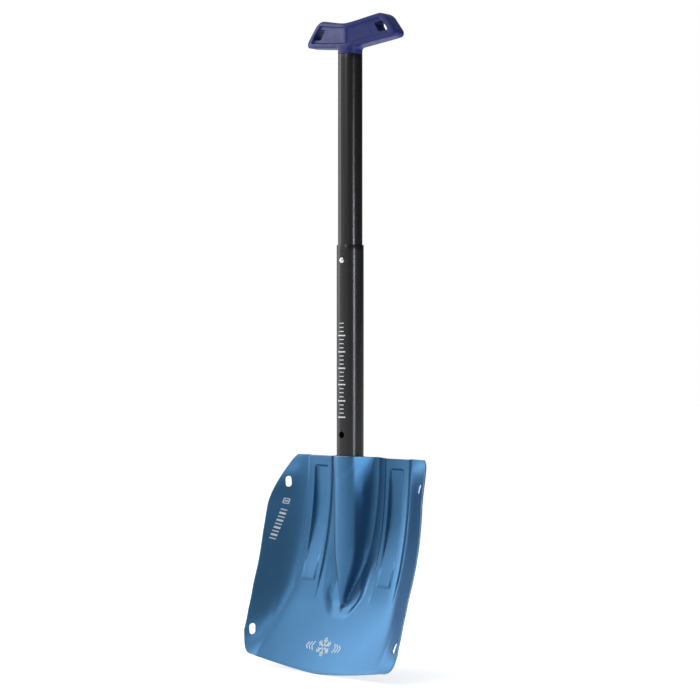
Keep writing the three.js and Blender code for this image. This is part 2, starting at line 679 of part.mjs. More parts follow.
const lowerShaft = new THREE.Group();
lowerShaft.add(
  piece('lower_tube', makeLowerTube(), 'blackTube'),
  piece('lower_tube_plug', endPlug(
    LOWER_HALF_X, LOWER_HALF_Y, LOWER_HALF_X - 0.6, LOWER_HALF_Y - 0.6, LOWER_BOTTOM,
  ), 'blackPlastic'),
  piece('blade_button', makeButton(socketRear, ...lowerBore, 1), 'nickel', BLADE_BUTTON_Z),
  piece('blade_button_spring', makeLeafSpring(...lowerBore, 1), 'springSteel', BLADE_BUTTON_Z),
);

const upperShaft = new THREE.Group();
upperShaft.add(
  piece('upper_tube', makeUpperTube(), 'blackTube'),
  piece('upper_tube_plug', endPlug(
    UPPER_HALF_X, UPPER_HALF_Y, UPPER_HALF_X + 0.1, UPPER_HALF_Y + 0.1, UPPER_BOTTOM,
  ), 'blackPlastic'),
  piece(
    'extension_button', makeButton(LOWER_HALF_Y, ...upperBore, -1), 'nickel', EXTENSION_BUTTON_Z,
  ),
  piece(
    'extension_button_spring', makeLeafSpring(...upperBore, -1), 'springSteel',
    EXTENSION_BUTTON_Z,
  ),
  piece('grip', makeGrip(), 'navyPlastic'),
  piece('grip_rivet', makeRivet(), 'nickel', RIVET_Z),
);

const shovel = new THREE.Group();
shovel.name = 'avalanche_shovel';
shovel.add(bladeGroup, lowerShaft, upperShaft);

// The row's origin is the middle of the underside of the box around the whole shovel.
const bounds = new THREE.Box3().setFromObject(shovel);
shovel.position.set(0, -(bounds.min.y + bounds.max.y) / 2, -bounds.min.z);

export default shovel;
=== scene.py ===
"""Looks of a two-stage avalanche shovel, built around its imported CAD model.

Sizes inside the classes are in millimetres and are drawn with the shaft's axis on the Z axis and
the blade's lip at Z = 0. A Seat turns them into metres in the shared frame.
"""
import logging
import math
from dataclasses import dataclass, field
from enum import Enum
from typing import Callable, Sequence

import bmesh
import bpy
import numpy as np
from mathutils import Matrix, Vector


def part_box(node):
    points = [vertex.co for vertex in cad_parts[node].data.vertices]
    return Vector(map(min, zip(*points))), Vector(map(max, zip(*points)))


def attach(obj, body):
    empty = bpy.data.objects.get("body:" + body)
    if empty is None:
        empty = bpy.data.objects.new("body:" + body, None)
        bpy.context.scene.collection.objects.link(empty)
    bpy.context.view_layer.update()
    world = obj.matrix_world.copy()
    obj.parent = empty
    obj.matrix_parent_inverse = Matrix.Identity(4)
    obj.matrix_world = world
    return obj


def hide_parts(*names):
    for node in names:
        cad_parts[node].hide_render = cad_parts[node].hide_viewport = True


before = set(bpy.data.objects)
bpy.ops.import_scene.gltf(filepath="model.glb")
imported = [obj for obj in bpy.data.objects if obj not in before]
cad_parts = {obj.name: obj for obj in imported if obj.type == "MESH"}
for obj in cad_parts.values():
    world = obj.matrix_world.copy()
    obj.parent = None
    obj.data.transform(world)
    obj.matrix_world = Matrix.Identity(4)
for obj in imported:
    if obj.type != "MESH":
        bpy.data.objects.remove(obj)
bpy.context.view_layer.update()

MM = 0.001
LOG = logging.getLogger("avalanche_shovel")
SECTION_POWER = 2.5
WHITE = "ffffff"
Rows = tuple[tuple[float, float], ...]


# ---------------------------------------------------------------- shared helpers
def set_inputs(tree: bpy.types.NodeTree, node: bpy.types.Node, inputs: dict) -> None:
    """Links or sets a node's inputs.

    Args:
        tree: the node's tree.
        node: the node.
        inputs: values or output sockets, by the input's name or number.
    """
    for key, value in inputs.items():
        if isinstance(value, bpy.types.NodeSocket):
            tree.links.new(value, node.inputs[key])
        else:
            node.inputs[key].default_value = value


def add_node(tree: bpy.types.NodeTree, kind: str, settings: dict | None = None,
             inputs: dict | None = None) -> bpy.types.Node:
    """Adds one node to a tree.

    Args:
        tree: the material's or the geometry's node tree.
        kind: the node's type name.
        settings: attributes of the node, by name.
        inputs: values or output sockets for the node's inputs, by name or number.

    Returns:
        The new node, linked and set.
    """
    node = tree.nodes.new(kind)
    for key, value in (settings or {}).items():
        setattr(node, key, value)
    set_inputs(tree, node, inputs or {})
    return node


def noise(tree: bpy.types.NodeTree, place: bpy.types.NodeSocket, scale: float, detail: float,
          **more: float) -> bpy.types.NodeSocket:
    """Adds a noise texture and gives its strength."""
    return add_node(tree, "ShaderNodeTexNoise", None, {
        "Vector": place, "Scale": scale, "Detail": detail, **more}).outputs["Fac"]


def remap(tree: bpy.types.NodeTree, value: bpy.types.NodeSocket, low: float, high: float,
          to_low: float, to_high: float) -> bpy.types.NodeSocket:
    """Maps a value's range on to another range, clamped at both ends."""
    inputs = dict(enumerate((value, low, high, to_low, to_high)))
    return add_node(tree, "ShaderNodeMapRange", None, inputs).outputs[0]


def tinted(tree: bpy.types.NodeTree, share: bpy.types.NodeSocket, base: object,
           other: object) -> bpy.types.NodeSocket:
    """Mixes a share of another colour into a base colour; each is RGBA or a socket."""
    return add_node(tree, "ShaderNodeMix", {"data_type": "RGBA"}, {
        0: share, 6: base, 7: other}).outputs[2]


def relief(tree: bpy.types.NodeTree, height: bpy.types.NodeSocket, strength: float,
           distance: float) -> bpy.types.NodeSocket:
    """Turns a height into a bumped normal."""
    return add_node(tree, "ShaderNodeBump", None, {
        "Strength": strength, "Distance": distance, "Height": height}).outputs[0]


def calc(tree: bpy.types.NodeTree, operation: str, *values: object,
         **settings: object) -> bpy.types.NodeSocket:
    """Adds a Math node; each value is a number or a socket."""
    return add_node(tree, "ShaderNodeMath", {"operation": operation, **settings},
                    dict(enumerate(values))).outputs[0]


def linear(hex_colour: str) -> tuple[float, float, float, float]:
    """Turns an sRGB hex colour into linear RGBA.

    Args:
        hex_colour: six hex digits, such as "3f6f9f".

    Returns:
        Linear red, green, blue and an alpha of one.
    """
    parts = [int(hex_colour[i:i + 2], 16) / 255 for i in (0, 2, 4)]
    red, green, blue = [v / 12.92 if v <= 0.04045 else ((v + 0.055) / 1.055) ** 2.4 for v in parts]
    return (red, green, blue, 1.0)


def smooth(low: float, high: float, value: np.ndarray) -> np.ndarray:
    """Smooth step from 0 at low to 1 at high, which may be given in falling order."""
    k = np.clip((np.asarray(value, float) - low) / (high - low), 0, 1)
    return k * k * (3 - 2 * k)


def soft_min(a: np.ndarray, b: np.ndarray, blend: float) -> np.ndarray:
    """Smaller of two values, rounded where they meet over the blend length."""
    h = np.clip(0.5 + 0.5 * (b - a) / blend, 0, 1)
    return b + (a - b) * h - blend * h * (1 - h)


def table(rows: Rows, value: np.ndarray) -> np.ndarray:
    """Straight-line look-up in rows of (position, value)."""
    return np.interp(value, [r[0] for r in rows], [r[1] for r in rows])


def oval_y(half_x: float, half_y: float, x: np.ndarray) -> np.ndarray:
    """Height of the shaft's rounded-square section over its long axis at a distance x."""
    share = np.clip(np.abs(x) / half_x, 0, 1) ** SECTION_POWER
    return half_y * (1 - share) ** (1 / SECTION_POWER)


def oval_ring(half_x: float, half_y: float, z: float, count: int) -> np.ndarray:
    """One ring of the shaft's section.

    Args:
        half_x: half width across the blade.
        half_y: half depth.
        z: height of the ring.
        count: number of points.

    Returns:
        Points counter-clockwise seen from above.
    """
    angle = 2 * np.pi * np.arange(count) / count
    c, s = np.cos(angle), np.sin(angle)
    reach = (np.abs(c / half_x) ** SECTION_POWER
             + np.abs(s / half_y) ** SECTION_POWER) ** (-1 / SECTION_POWER)
    return np.stack([reach * c, reach * s, np.full(count, z)], axis=1)


def mesh_object(name: str, points: np.ndarray, faces: Sequence[Sequence[int]]) -> bpy.types.Object:
    """Makes a mesh object with its faces turned outwards.

    Args:
        name: name of the object and its mesh.
        points: vertices in metres, in the shared frame.
        faces: corner numbers of each face.

    Returns:
        The object, linked to the scene and standing at the origin.
    """
    mesh = bpy.data.meshes.new(name)
    mesh.from_pydata([tuple(map(float, p)) for p in points], [],
                     [tuple(map(int, f)) for f in faces])
    work = bmesh.new()
    work.from_mesh(mesh)
    bmesh.ops.remove_doubles(work, verts=work.verts, dist=1e-7)
    bmesh.ops.recalc_face_normals(work, faces=work.faces)
    work.to_mesh(mesh)
    work.free()
    return link(name, mesh)


def link(name: str, data: bpy.types.ID) -> bpy.types.Object:
    """Makes an object of its data and links it to the scene."""
    obj = bpy.data.objects.new(name, data)
    bpy.context.scene.collection.objects.link(obj)
    return obj


def carve(obj: bpy.types.Object, points: np.ndarray, faces: Sequence[Sequence[int]]) -> None:
    """Cuts a closed shape out of an object.

    Args:
        obj: the piece that is cut.
        points: the shape's vertices in metres, in the shared frame.
        faces: corner numbers of each of its faces.
    """
    cutter = mesh_object("cutter", points, faces)
    boolean = obj.modifiers.new("cut", "BOOLEAN")
    boolean.operation, boolean.solver, boolean.object = "DIFFERENCE", "EXACT", cutter
    bake_modifiers(obj)
    bpy.data.objects.remove(cutter)


def band_faces(rings: int, count: int) -> list[list[int]]:
    """Quads between closed rings of points, each with the same number of points."""
    faces = []
    for r in range(rings - 1):
        a = r * count + np.arange(count)
        b = r * count + (np.arange(count) + 1) % count
        faces += np.stack([a, b, b + count, a + count], axis=1).tolist()
    return faces


def prism_faces(count: int) -> list[list[int]]:
    """Sides and ends of a prism whose two rings have the same number of points."""
    return band_faces(2, count) + [list(range(count - 1, -1, -1)),
                                   list(range(count, 2 * count))]


def bake_modifiers(obj: bpy.types.Object) -> bpy.types.Object:
    """Replaces an object's mesh with its evaluated mesh and takes its modifiers off."""
    depsgraph = bpy.context.evaluated_depsgraph_get()
    depsgraph.update()
    mesh = bpy.data.meshes.new_from_object(
        obj.evaluated_get(depsgraph), preserve_all_data_layers=True, depsgraph=depsgraph)
    obj.modifiers.clear()
    obj.data = mesh
    mesh.name = obj.name
    return obj


def soften(obj: bpy.types.Object, width: float, segments: int = 2, angle: float = 50) -> None:
    """Rounds an object's sharp edges with a baked bevel.

    Args:
        obj: the piece.
        width: width of the bevel in millimetres.
        segments: steps across the bevel.
        angle: smallest angle between faces, in degrees, that is rounded.
    """
    bevel = obj.modifiers.new("edge", "BEVEL")
    bevel.limit_method = "ANGLE"
    bevel.angle_limit = math.radians(angle)
    bevel.width = width * MM
    bevel.segments = segments
    bake_modifiers(obj)


def shade(obj: bpy.types.Object, angle: float = 38) -> None:
    """Shades a piece smooth, with edges sharper than the angle in degrees kept crisp."""
    obj.data.shade_smooth()
    obj.data.set_sharp_from_angle(angle=math.radians(angle))


# ---------------------------------------------------------------- where things stand
@dataclass(frozen=True)
class Seat:
    """Place of the drawing in the shared frame, in millimetres."""

    axis_y: float
    base_z: float

    @classmethod
    def from_frame(cls, tube_bottom: float) -> "Seat":
        """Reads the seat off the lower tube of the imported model.

        Args:
            tube_bottom: height at which the lower tube's end is drawn.

        Returns:
            The seat of every piece.
        """
        low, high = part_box("lower_tube")
        return cls((low.y + high.y) / 2 / MM, low.z / MM - tube_bottom)

    def place(self, points: np.ndarray) -> np.ndarray:
        """Moves drawn points into the shared frame, in metres."""
        return (np.asarray(points, float) + (0, self.axis_y, self.base_z)) * MM


class Body(Enum):
    """Bodies that the pieces ride on."""

    BLADE = "blade"
    BLADE_BUTTON = "blade_button"
    LOWER_SHAFT = "lower_shaft"
    UPPER_SHAFT = "upper_shaft"
    EXTENSION_BUTTON = "extension_button"


class Slot(Enum):
    """Material slots of the record, passed with the drawn pieces and not read."""

    SHEET = "blue_anodised"
    SHEET_BACK = "blue_anodised_back"
    TUBE = "black_anodised"
    GRIP = "navy_plastic"
    NICKEL = "nickel"


# ---------------------------------------------------------------- finishes
@dataclass(frozen=True)
class Finish:
    """Base of every finish: a Principled shader whose detail reads Object coordinates."""

    name: str
    colour: str
    roughness: float
    metallic: float = 0.0

    def start(self) -> tuple[bpy.types.Material, bpy.types.NodeTree, bpy.types.Node,
        bpy.types.Node]:
        """Makes the material with its coordinate node and shader.

        Returns:
            The material, its tree, its coordinate node and its Principled shader.
        """
        material = bpy.data.materials.new(self.name)
        material.use_nodes = True
        tree = material.node_tree
        tree.nodes.clear()
        coords = add_node(tree, "ShaderNodeTexCoord")
        shader = add_node(tree, "ShaderNodeBsdfPrincipled", None, {
            "Base Color": linear(self.colour), "Roughness": self.roughness,
            "Metallic": self.metallic,
        })
        add_node(tree, "ShaderNodeOutputMaterial", None, {"Surface": shader.outputs["BSDF"]})
        return material, tree, coords, shader

    def build(self) -> bpy.types.Material:
        """Makes the finish's material."""
        raise NotImplementedError


@dataclass(frozen=True)
class AnodisedSheet(Finish):
    """Anodised aluminium sheet, etched matt before dyeing.

    The etch leaves a fine even grain that spreads the highlights, the dye takes slightly unevenly,
    and the free edges are painted paler: a painted edge highlight mixed with handling rubs.
    """

    dark: str = "20527c"
    # Paler rim colour: painted edge highlight mixed with handling rubs.
    sheen_and_wear_tint: str = "7f9cb4"
    grit: str = "5683a8"
    grain_mm: float = 1.3
    blotch_mm: float = 45.0
    sheen_and_wear_mm: float = 2.2

    def build(self) -> bpy.types.Material:
        """Makes the anodised sheet's material."""
        material, tree, coords, shader = self.start()
        place = coords.outputs["Object"]
        # Dye: slow drift of the blue over some 45 mm.
        drift = noise(tree, place, 1 / (self.blotch_mm * MM), 3.0)
        dye = remap(tree, drift, 0.3, 0.7, 0.0, 0.22)
        tint = tinted(tree, dye, linear(self.colour), linear(self.dark))
        # Etched grain: real grit is near 0.1 mm, drawn coarser so that it shows.
        grain = noise(tree, place, 1 / (self.grain_mm * MM), 4.0, Roughness=0.65)
        speck = remap(tree, grain, 0.35, 0.65, 0.0, 0.13)
        grained = tinted(tree, speck, tint, linear(self.grit))
        # Pale rim: a painted edge highlight along the sheet's rim, mixed with handling rubs where
        # the dye is thin.
        edge = add_node(tree, "ShaderNodeAttribute", {"attribute_name": "rim"})
        breakup = noise(tree, place, 1 / (self.sheen_and_wear_mm * MM), 2.0)
        rim_sheen_and_wear = calc(tree, "MULTIPLY", edge.outputs["Fac"], breakup)
        sheen_and_wear_colour = tinted(tree, rim_sheen_and_wear, grained, linear(self.sheen_and_wear_tint))
        # Hair scratches: long thin streaks running mostly down the blade.
        lines = add_node(tree, "ShaderNodeMapping", None, {
            "Vector": place, "Rotation": (0.0, 0.12, 0.0), "Scale": (420.0, 60.0, 5.0)})
        hair = noise(tree, lines.outputs[0], 1.0, 2.0)
        scratch = remap(tree, hair, 0.64, 0.8, 0.0, 0.08)
        rough = remap(tree, grain, 0.3, 0.7, self.roughness - 0.05, self.roughness + 0.06)
        rougher = calc(tree, "SUBTRACT", rough, scratch)
        bump = relief(tree, grain, 0.10, 0.0003)
        fine = add_node(tree, "ShaderNodeBump", {"invert": True}, {
            "Strength": 0.15, "Distance": 0.0002, "Height": scratch, "Normal": bump})
        # The clear oxide skin over the dye: a whitish sheen where the light is strong.
        set_inputs(tree, shader, {
            "Coat Weight": 0.3, "Coat Roughness": 0.38, "Coat IOR": 1.6,
            "Base Color": sheen_and_wear_colour, "Roughness": rougher, "Normal": fine.outputs[0]})
        return material


@dataclass(frozen=True)
class AnodisedTube(Finish):
    """Drawn aluminium tube, anodised black.

    Drawing through a die leaves fine straight lines along the tube, the dye makes it near black,
    and the telescoping part gets faint rub marks along its length.
    """

    drawn: str = "4a4a4c"
    line_mm: float = 0.9
    grain_mm: float = 0.8

    def build(self) -> bpy.types.Material:
        """Makes the black tube's material."""
        material, tree, coords, shader = self.start()
        place = coords.outputs["Object"]
        # Die lines: under 0.1 mm apart on the real tube, drawn near a millimetre.
        along = add_node(tree, "ShaderNodeMapping", None, {
            "Vector": place,
            "Scale": (1 / (self.line_mm * MM), 1 / (self.line_mm * MM), 6.0)})
        lines = noise(tree, along.outputs[0], 1.0, 3.0)
        grain = noise(tree, place, 1 / (self.grain_mm * MM), 3.0)
        both = calc(tree, "MULTIPLY_ADD", grain, 0.6, lines)
        tint = remap(tree, both, 0.55, 1.05, 0.0, 0.3)
        colour = tinted(tree, tint, linear(self.colour), linear(self.drawn))
        # Long rubs from sliding: a few wide pale streaks.
        wide = add_node(tree, "ShaderNodeMapping", None, {
            "Vector": place, "Scale": (170.0, 170.0, 3.0)})
        slide = noise(tree, wide.outputs[0], 1.0, 2.0)
        rough = remap(tree, slide, 0.35, 0.65, self.roughness + 0.04, self.roughness - 0.05)
        bump = relief(tree, both, 0.10, 0.0002)
        set_inputs(tree, shader, {"Base Color": colour, "Roughness": rough, "Normal": bump})
        return material


@dataclass(frozen=True)
class MouldedNylon(Finish):
    """Glass-filled nylon moulded in a spark-eroded tool.

    The tool leaves a fine pebbled skin with a soft broad sheen, and gloved hands polish the
    high spots a little.
    """

    worn: str = "26306c"
    pebble_mm: float = 0.9
    blotch_mm: float = 14.0

    def build(self) -> bpy.types.Material:
        """Makes the moulded plastic's material."""
        material, tree, coords, shader = self.start()
        place = coords.outputs["Object"]
        blotch = noise(tree, place, 1 / (self.blotch_mm * MM), 4.0)
        tone = remap(tree, blotch, 0.35, 0.7, 0.0, 0.3)
        # Pebbles of the tool's skin: 0.2 mm in fact, drawn at 0.9 mm so that they show.
        pebble = add_node(tree, "ShaderNodeTexVoronoi", {"feature": "SMOOTH_F1"}, {
            "Vector": place, "Scale": 1 / (self.pebble_mm * MM)})
        speck = remap(tree, pebble.outputs["Distance"], 0.2, 0.7, 0.0, 0.14)
        mix = calc(tree, "ADD", tone, speck)
        colour = tinted(tree, mix, linear(self.colour), linear(self.worn))
        rough = remap(tree, blotch, 0.3, 0.7, self.roughness + 0.06, self.roughness - 0.06)
        bump = relief(tree, pebble.outputs["Distance"], 0.16, 0.00025)
        set_inputs(tree, shader, {
            "Specular IOR Level": 0.28, "Base Color": colour, "Roughness": rough, "Normal": bump})
        return material


@dataclass(frozen=True)
class PlatedMetal(Finish):
    """Bright metal with fine tumbled scuffs: nickel plate on the buttons, bare spring steel."""

    scuff: str = "8f8f8c"
    scuff_mm: float = 1.1

    def build(self) -> bpy.types.Material:
        """Makes the bright metal's material."""
        material, tree, coords, shader = self.start()
        place = coords.outputs["Object"]
        scuffs = noise(tree, place, 1 / (self.scuff_mm * MM), 5.0, Distortion=1.2)
        share = remap(tree, scuffs, 0.45, 0.75, 0.0, 0.5)
        colour = tinted(tree, share, linear(self.colour), linear(self.scuff))
        rough = remap(tree, scuffs, 0.3, 0.75, self.roughness, self.roughness + 0.18)
        bump = relief(tree, scuffs, 0.08, 0.0001)
        set_inputs(tree, shader, {"Base Color": colour, "Roughness": rough, "Normal": bump})
        return material


@dataclass(frozen=True)
class PadInk(Finish):
    """Pad-printed grey ink: thin, matt, with small pinholes where the pad lifted."""

    shade_to: str = "9fb0bd"
    pinhole_mm: float = 0.8

    def build(self) -> bpy.types.Material:
        """Makes the print's material."""
        material, tree, coords, shader = self.start()
        spots = noise(tree, coords.outputs["Object"], 1 / (self.pinhole_mm * MM), 3.0)
        thin = remap(tree, spots, 0.5, 0.72, 0.0, 0.6)
        colour = tinted(tree, thin, linear(self.colour), linear(self.shade_to))
        bump = relief(tree, spots, 0.1, 0.0001)
        set_inputs(tree, shader, {"Base Color": colour, "Normal": bump})
        return material


@dataclass(frozen=True)
class PaintedFloor(Finish):
    """White studio sweep: smooth matt paint with a barely visible roller texture."""

    def build(self) -> bpy.types.Material:
        """Makes the sweep's material."""
        material, tree, coords, shader = self.start()
        roller = noise(tree, coords.outputs["Object"], 60.0, 2.0)
        bump = relief(tree, roller, 0.02, 0.0003)
        set_inputs(tree, shader, {
            "Normal": bump, "Emission Color": linear(WHITE), "Emission Strength": 0.6})
        return material


@dataclass
class FinishSet:
    """Every finish of the shovel, each built once."""

    made: dict[str, bpy.types.Material] = field(default_factory=dict)
    finishes: tuple[Finish, ...] = (
        AnodisedSheet("blue_anodised_aluminium", "2e648e", 0.40, 0.9),
        AnodisedTube("black_anodised_aluminium", "343435", 0.29, 0.88),
        MouldedNylon("navy_moulded_nylon", "172260", 0.44),
        MouldedNylon("black_moulded_nylon", "1a1a1b", 0.55, 0.0, "303031"),
        PlatedMetal("nickel_plate", "d2cfc8", 0.16, 1.0),
        PlatedMetal("spring_steel", "94979b", 0.30, 1.0, "6c6e71"),
        PadInk("grey_pad_ink", "c9d2d9", 0.5),
        PaintedFloor("matt_white_paint", "f4f5f6", 0.85),
    )

    def get(self, name: str) -> bpy.types.Material:
        """Gives the material of a finish, building it on first use.

        Args:
            name: the finish's name.

        Returns:
            Its material.
        """
        if name not in self.made:
            self.made[name] = next(f for f in self.finishes if f.name == name).build()
        return self.made[name]


def dress(obj: bpy.types.Object, material: bpy.types.Material, body: Body, slot: Slot,
          *nodes: str) -> bpy.types.Object:
    """Gives a piece its finish and ties it to the frame.

    Args:
        obj: the piece.
        material: its finish.
        body: the body that it rides on.
        slot: the record's material slot; not used.
        nodes: CAD nodes that it stands for.

    Returns:
        The same piece.
    """
    obj.data.materials.clear()
    obj.data.materials.append(material)
    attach(obj, body.value)
    if nodes:
        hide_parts(*nodes)
    LOG.info("%s: %d faces, rides on %s", obj.name, len(obj.data.polygons), body.value)
    return obj


# ---------------------------------------------------------------- blade
@dataclass
class Blade:
    """Pressed scoop with raised bands, recessed panels, a ridge over the shaft and two wings."""

    seat: Seat
    sheet: float = 2.0
    top: float = 258.0
    half: float = 126.2
    ridge_half: float = 18.4
    ridge_crest: float = 18.3
    ridge_taper: Rows = (
        (60, 0.12), (74, 0.16), (86, 0.27), (101, 0.47), (118, 0.74), (132, 0.91), (146, 0.99),
        (156, 1.0))
    mouth: tuple[float, float, float] = (17.0, 24.0, 0.5)
    crown: tuple[float, float, float] = (17.0, 80.0, 2.27)
    dish: tuple[float, float] = (11.0, 97.0)
    fold: tuple[float, float] = (100.0, 84.0)
    fold_round: float = 5.0
    wing_slope: float = 0.74
    wing_fade: Rows = ((12, 0), (28, 0.4), (43, 0.73), (67, 0.93), (95, 1))
    shoulder: tuple[float, float] = (63.0, 2.2)
    pocket: float = 4.5
    pocket_half: Rows = ((64, 29), (70, 21), (92, 8), (130, 0))
    pocket_blend: Rows = ((84, 9), (125, 24))
    pocket_share: Rows = ((105, 1), (150, 0.3))
    ridge_blend: Rows = ((84, 4.5), (130, 9))
    band: tuple[float, float] = (43.0, 83.0)
    band_height: float = 2.1
    panel: tuple[float, float] = (49.5, 72.5)
    panel_heights: tuple[float, float] = (104.0, 245.0)
    panel_sink: Rows = ((0, -1.5), (0.12, -0.5), (0.24, 1), (0.36, 2.7), (0.5, 4.1), (0.645, 4.6),
                        (0.823, 4), (1, 3))
    slots: Rows = ((106.0, 223.0), (115.0, 43.0))
    slot_size: tuple[float, float] = (4.0, 14.0)
    slot_lean: float = 0.12
    rim: float = 0.95
    side: tuple[tuple[float, float, float], ...] = (
        (0, 102, 13.2), (0.02, 111, 14.2), (0.05, 116.8, 17.4), (0.09, 120.3, 23),
        (0.13, 122.7, 31), (0.18, 124.3, 41), (0.24, 124.4, 55), (0.3, 124.6, 78),
        (0.385, 125.2, 101), (0.5, 125.8, 130), (0.6, 126.2, 158), (0.68, 125.7, 176),
        (0.745, 124.7, 193), (0.8, 122.2, 207.5), (0.855, 118.6, 222), (0.895, 115.4, 232.5),
        (0.937, 111.6, 243), (0.975, 107.6, 252), (1, 103, 257.2),
    )

    def ridge_y(self, a: np.ndarray, z: np.ndarray) -> np.ndarray:
        """Front of the raised ridge over the shaft.

        Args:
            a: distances from the middle.
            z: heights; below the shaft's end the ridge narrows to a keel.

        Returns:
            Depth of the ridge, with straight flanks beyond its round crest.
        """
        half = self.ridge_half * table(self.ridge_taper, z)
        tangent, step = 0.924, 1e-3
        share = a / half
        crest = -self.ridge_crest * (1 - np.clip(share, 0, 1) ** SECTION_POWER) ** 0.4
        ends = [-self.ridge_crest * (1 - k ** SECTION_POWER) ** 0.4
                for k in (tangent - step, tangent)]
        flank = ends[1] + (ends[1] - ends[0]) / step * (share - tangent)
        return np.where(share <= tangent, crest, flank)

    def front_y(self, x: np.ndarray, z: np.ndarray) -> np.ndarray:
        """Front face of the sheet.

        Args:
            x: places across the blade.
            z: heights.

        Returns:
            Depth of the front face at each place.
        """
        a, z = np.abs(np.asarray(x, float)), np.asarray(z, float)
        drop = np.clip((self.top - z) / self.top, 0, 1.1)
        start, fall, power = self.crown
        depth, reach = self.dish
        y = start - fall * drop ** power
        y = y - depth * (np.minimum(a, reach) / reach) ** 2 * smooth(130, 0, z)
        inner, outer = self.band
        y = y - self.band_height * smooth(inner - 1, inner + 1.6, a) \
            * smooth(outer + 0.5, outer - 2.1, a) * smooth(78, 118, z)
        left, right = self.panel
        low, high = self.panel_heights
        y = y + table(self.panel_sink, (z - low) / (high - low)) * smooth(left, left + 2.8, a) \
            * smooth(right, right - 2.8, a) * smooth(low - 0.5, low + 2.4, z) \
            * smooth(high + 0.5, high - 2.4, z)
        half = inner - 2 - table(self.pocket_half, z)
        blend = table(self.pocket_blend, z)
        valley = 1 - smooth(0, 1, (a - half + blend) / blend)
        y = y + self.pocket * valley * smooth(62, 84, z) * table(self.pocket_share, z)
        fold = self.fold[0] + (self.fold[1] - self.fold[0]) * smooth(20, 115, z)
        bend = self.fold_round * np.logaddexp(0, (a - fold) / self.fold_round)
        length, power = self.shoulder
        shoulder = 1 - np.clip((z - self.top) / length + 1, 0, 1) ** power
        y = y - self.wing_slope * bend * shoulder * table(self.wing_fade, z)
        y = soft_min(y, self.ridge_y(a, z), table(self.ridge_blend, z))
        # Bell mouth: a shallow step round the top of the ridge where the shaft goes in.
        reach, depth, step = self.mouth
        lip = self.top - depth * np.sqrt(1 - np.clip(a / reach, 0, 1) ** 2)
        return y - step * smooth(-1.1, 1.1, z - lip) * smooth(reach, reach - 1.5, a)

    def normals(self, x: np.ndarray, z: np.ndarray) -> np.ndarray:
        """Unit normals of the sheet, pointing to its back."""
        h = 0.35
        dx = (self.front_y(x + h, z) - self.front_y(x - h, z)) / (2 * h)
        dz = (self.front_y(x, z + h) - self.front_y(x, z - h)) / (2 * h)
        n = np.stack([-dx, np.ones_like(dx), -dz], axis=-1)
        return n / np.linalg.norm(n, axis=-1, keepdims=True)

    def back_y(self, x: np.ndarray, z: np.ndarray) -> np.ndarray:
        """Back face of the sheet, measured along Y."""
        return self.front_y(x, z) + self.sheet / np.maximum(0.36, self.normals(x, z)[..., 1])

    def columns(self) -> np.ndarray:
        """Distances of the grid's inner columns from the middle, close together at the walls."""
        spans = ((0, 14, 9), (14, 21, 8), (21, 40, 11), (40, 46.5, 9), (46.5, 49, 2), (49, 53.5,
            7),
                 (53.5, 68.5, 8), (68.5, 73, 7), (73, 79, 4), (79, 83.5, 7))
        runs = [np.linspace(lo, hi, n, endpoint=False) for lo, hi, n in spans]
        return np.append(np.concatenate(runs), 83.5)

    def rows(self) -> np.ndarray:
        """Shares of the height at which the grid's rows lie."""
        spans = ((0, 0.014, 1), (0.014, 0.36, 42), (0.36, 0.425, 16), (0.425, 0.92, 52),
                 (0.92, 0.965, 12), (0.965, 0.99, 4), (0.99, 1.0, 1))
        runs = [np.linspace(lo, hi, n, endpoint=False) for lo, hi, n in spans]
        return np.append(np.concatenate(runs), 1.0)

    def grid(self) -> tuple[np.ndarray, np.ndarray]:
        """Lays the sheet's grid out.

        Returns:
            X and Z of every grid point, row by row from the lip upwards.
        """
        inner = self.columns()
        wing = np.append(np.linspace(0, 0.95, 26)[1:], 1.0)
        t = self.rows()
        a = np.concatenate([inner, np.zeros(len(wing))])
        lip = 1.2 + 11.2 * (inner / self.dish[1]) ** 1.5
        top = (self.top - 1.1 * smooth(26, 46, inner) + 1.1 * smooth(78, 90, inner)
               + 1.5 * smooth(26, 18, inner))
        z_inner = lip + (top - lip) * t[:, None]
        side_x = self.outline(t)
        side_z = self.outline(t, height=True)
        x = np.repeat(a[None, :], len(t), axis=0)
        z = np.zeros_like(x)
        z[:, :len(inner)] = z_inner
        x[:, len(inner):] = inner[-1] + (side_x[:, None] - inner[-1]) * wing
        z[:, len(inner):] = z_inner[:, -1:] + (side_z[:, None] - z_inner[:, -1:]) * wing
        return (np.concatenate([-x[:, :0:-1], x], axis=1),
                np.concatenate([z[:, :0:-1], z], axis=1))

    def outline(self, t: np.ndarray, height: bool = False) -> np.ndarray:
        """Wing's edge as a smooth curve through its points.

        Args:
            t: shares of the way up.
            height: gives the height instead of the distance from the middle.

        Returns:
            The curve's values, from a monotone cubic through the points.
        """
        knots = np.array([p[0] for p in self.side])
        values = np.array([p[2 if height else 1] for p in self.side], float)
        step, rise = np.diff(knots), np.diff(values)
        slope = rise / step
        ends = np.concatenate([[slope[0]], np.zeros(len(slope) - 1), [slope[-1]]])
        same = slope[:-1] * slope[1:] > 0
        safe = np.where(same, slope[:-1] + slope[1:], 1)
        ends[1:-1] = np.where(same, 2 * slope[:-1] * slope[1:] / safe, 0)
        i = np.clip(np.searchsorted(knots, t, side="right") - 1, 0, len(slope) - 1)
        k = (t - knots[i]) / step[i]
        return (values[i] * (1 + 2 * k) * (1 - k) ** 2 + ends[i] * step[i] * k * (1 - k) ** 2
                + values[i + 1] * k * k * (3 - 2 * k) + ends[i + 1] * step[i] * k * k * (k - 1))

    def sheet_object(self) -> bpy.types.Object:
        """Builds the sheet with a rounded rim and a rim attribute for the painted edge highlight
        and rubs.

        Returns:
            The closed sheet, before its slots are cut.
        """
        x, z = self.grid()
        height, width = x.shape
        border = self.border(height, width)
        y = self.front_y(x, z)
        points = np.stack([x, y, z], axis=-1).reshape(-1, 3)
        normal = self.normals(x, z).reshape(-1, 3)
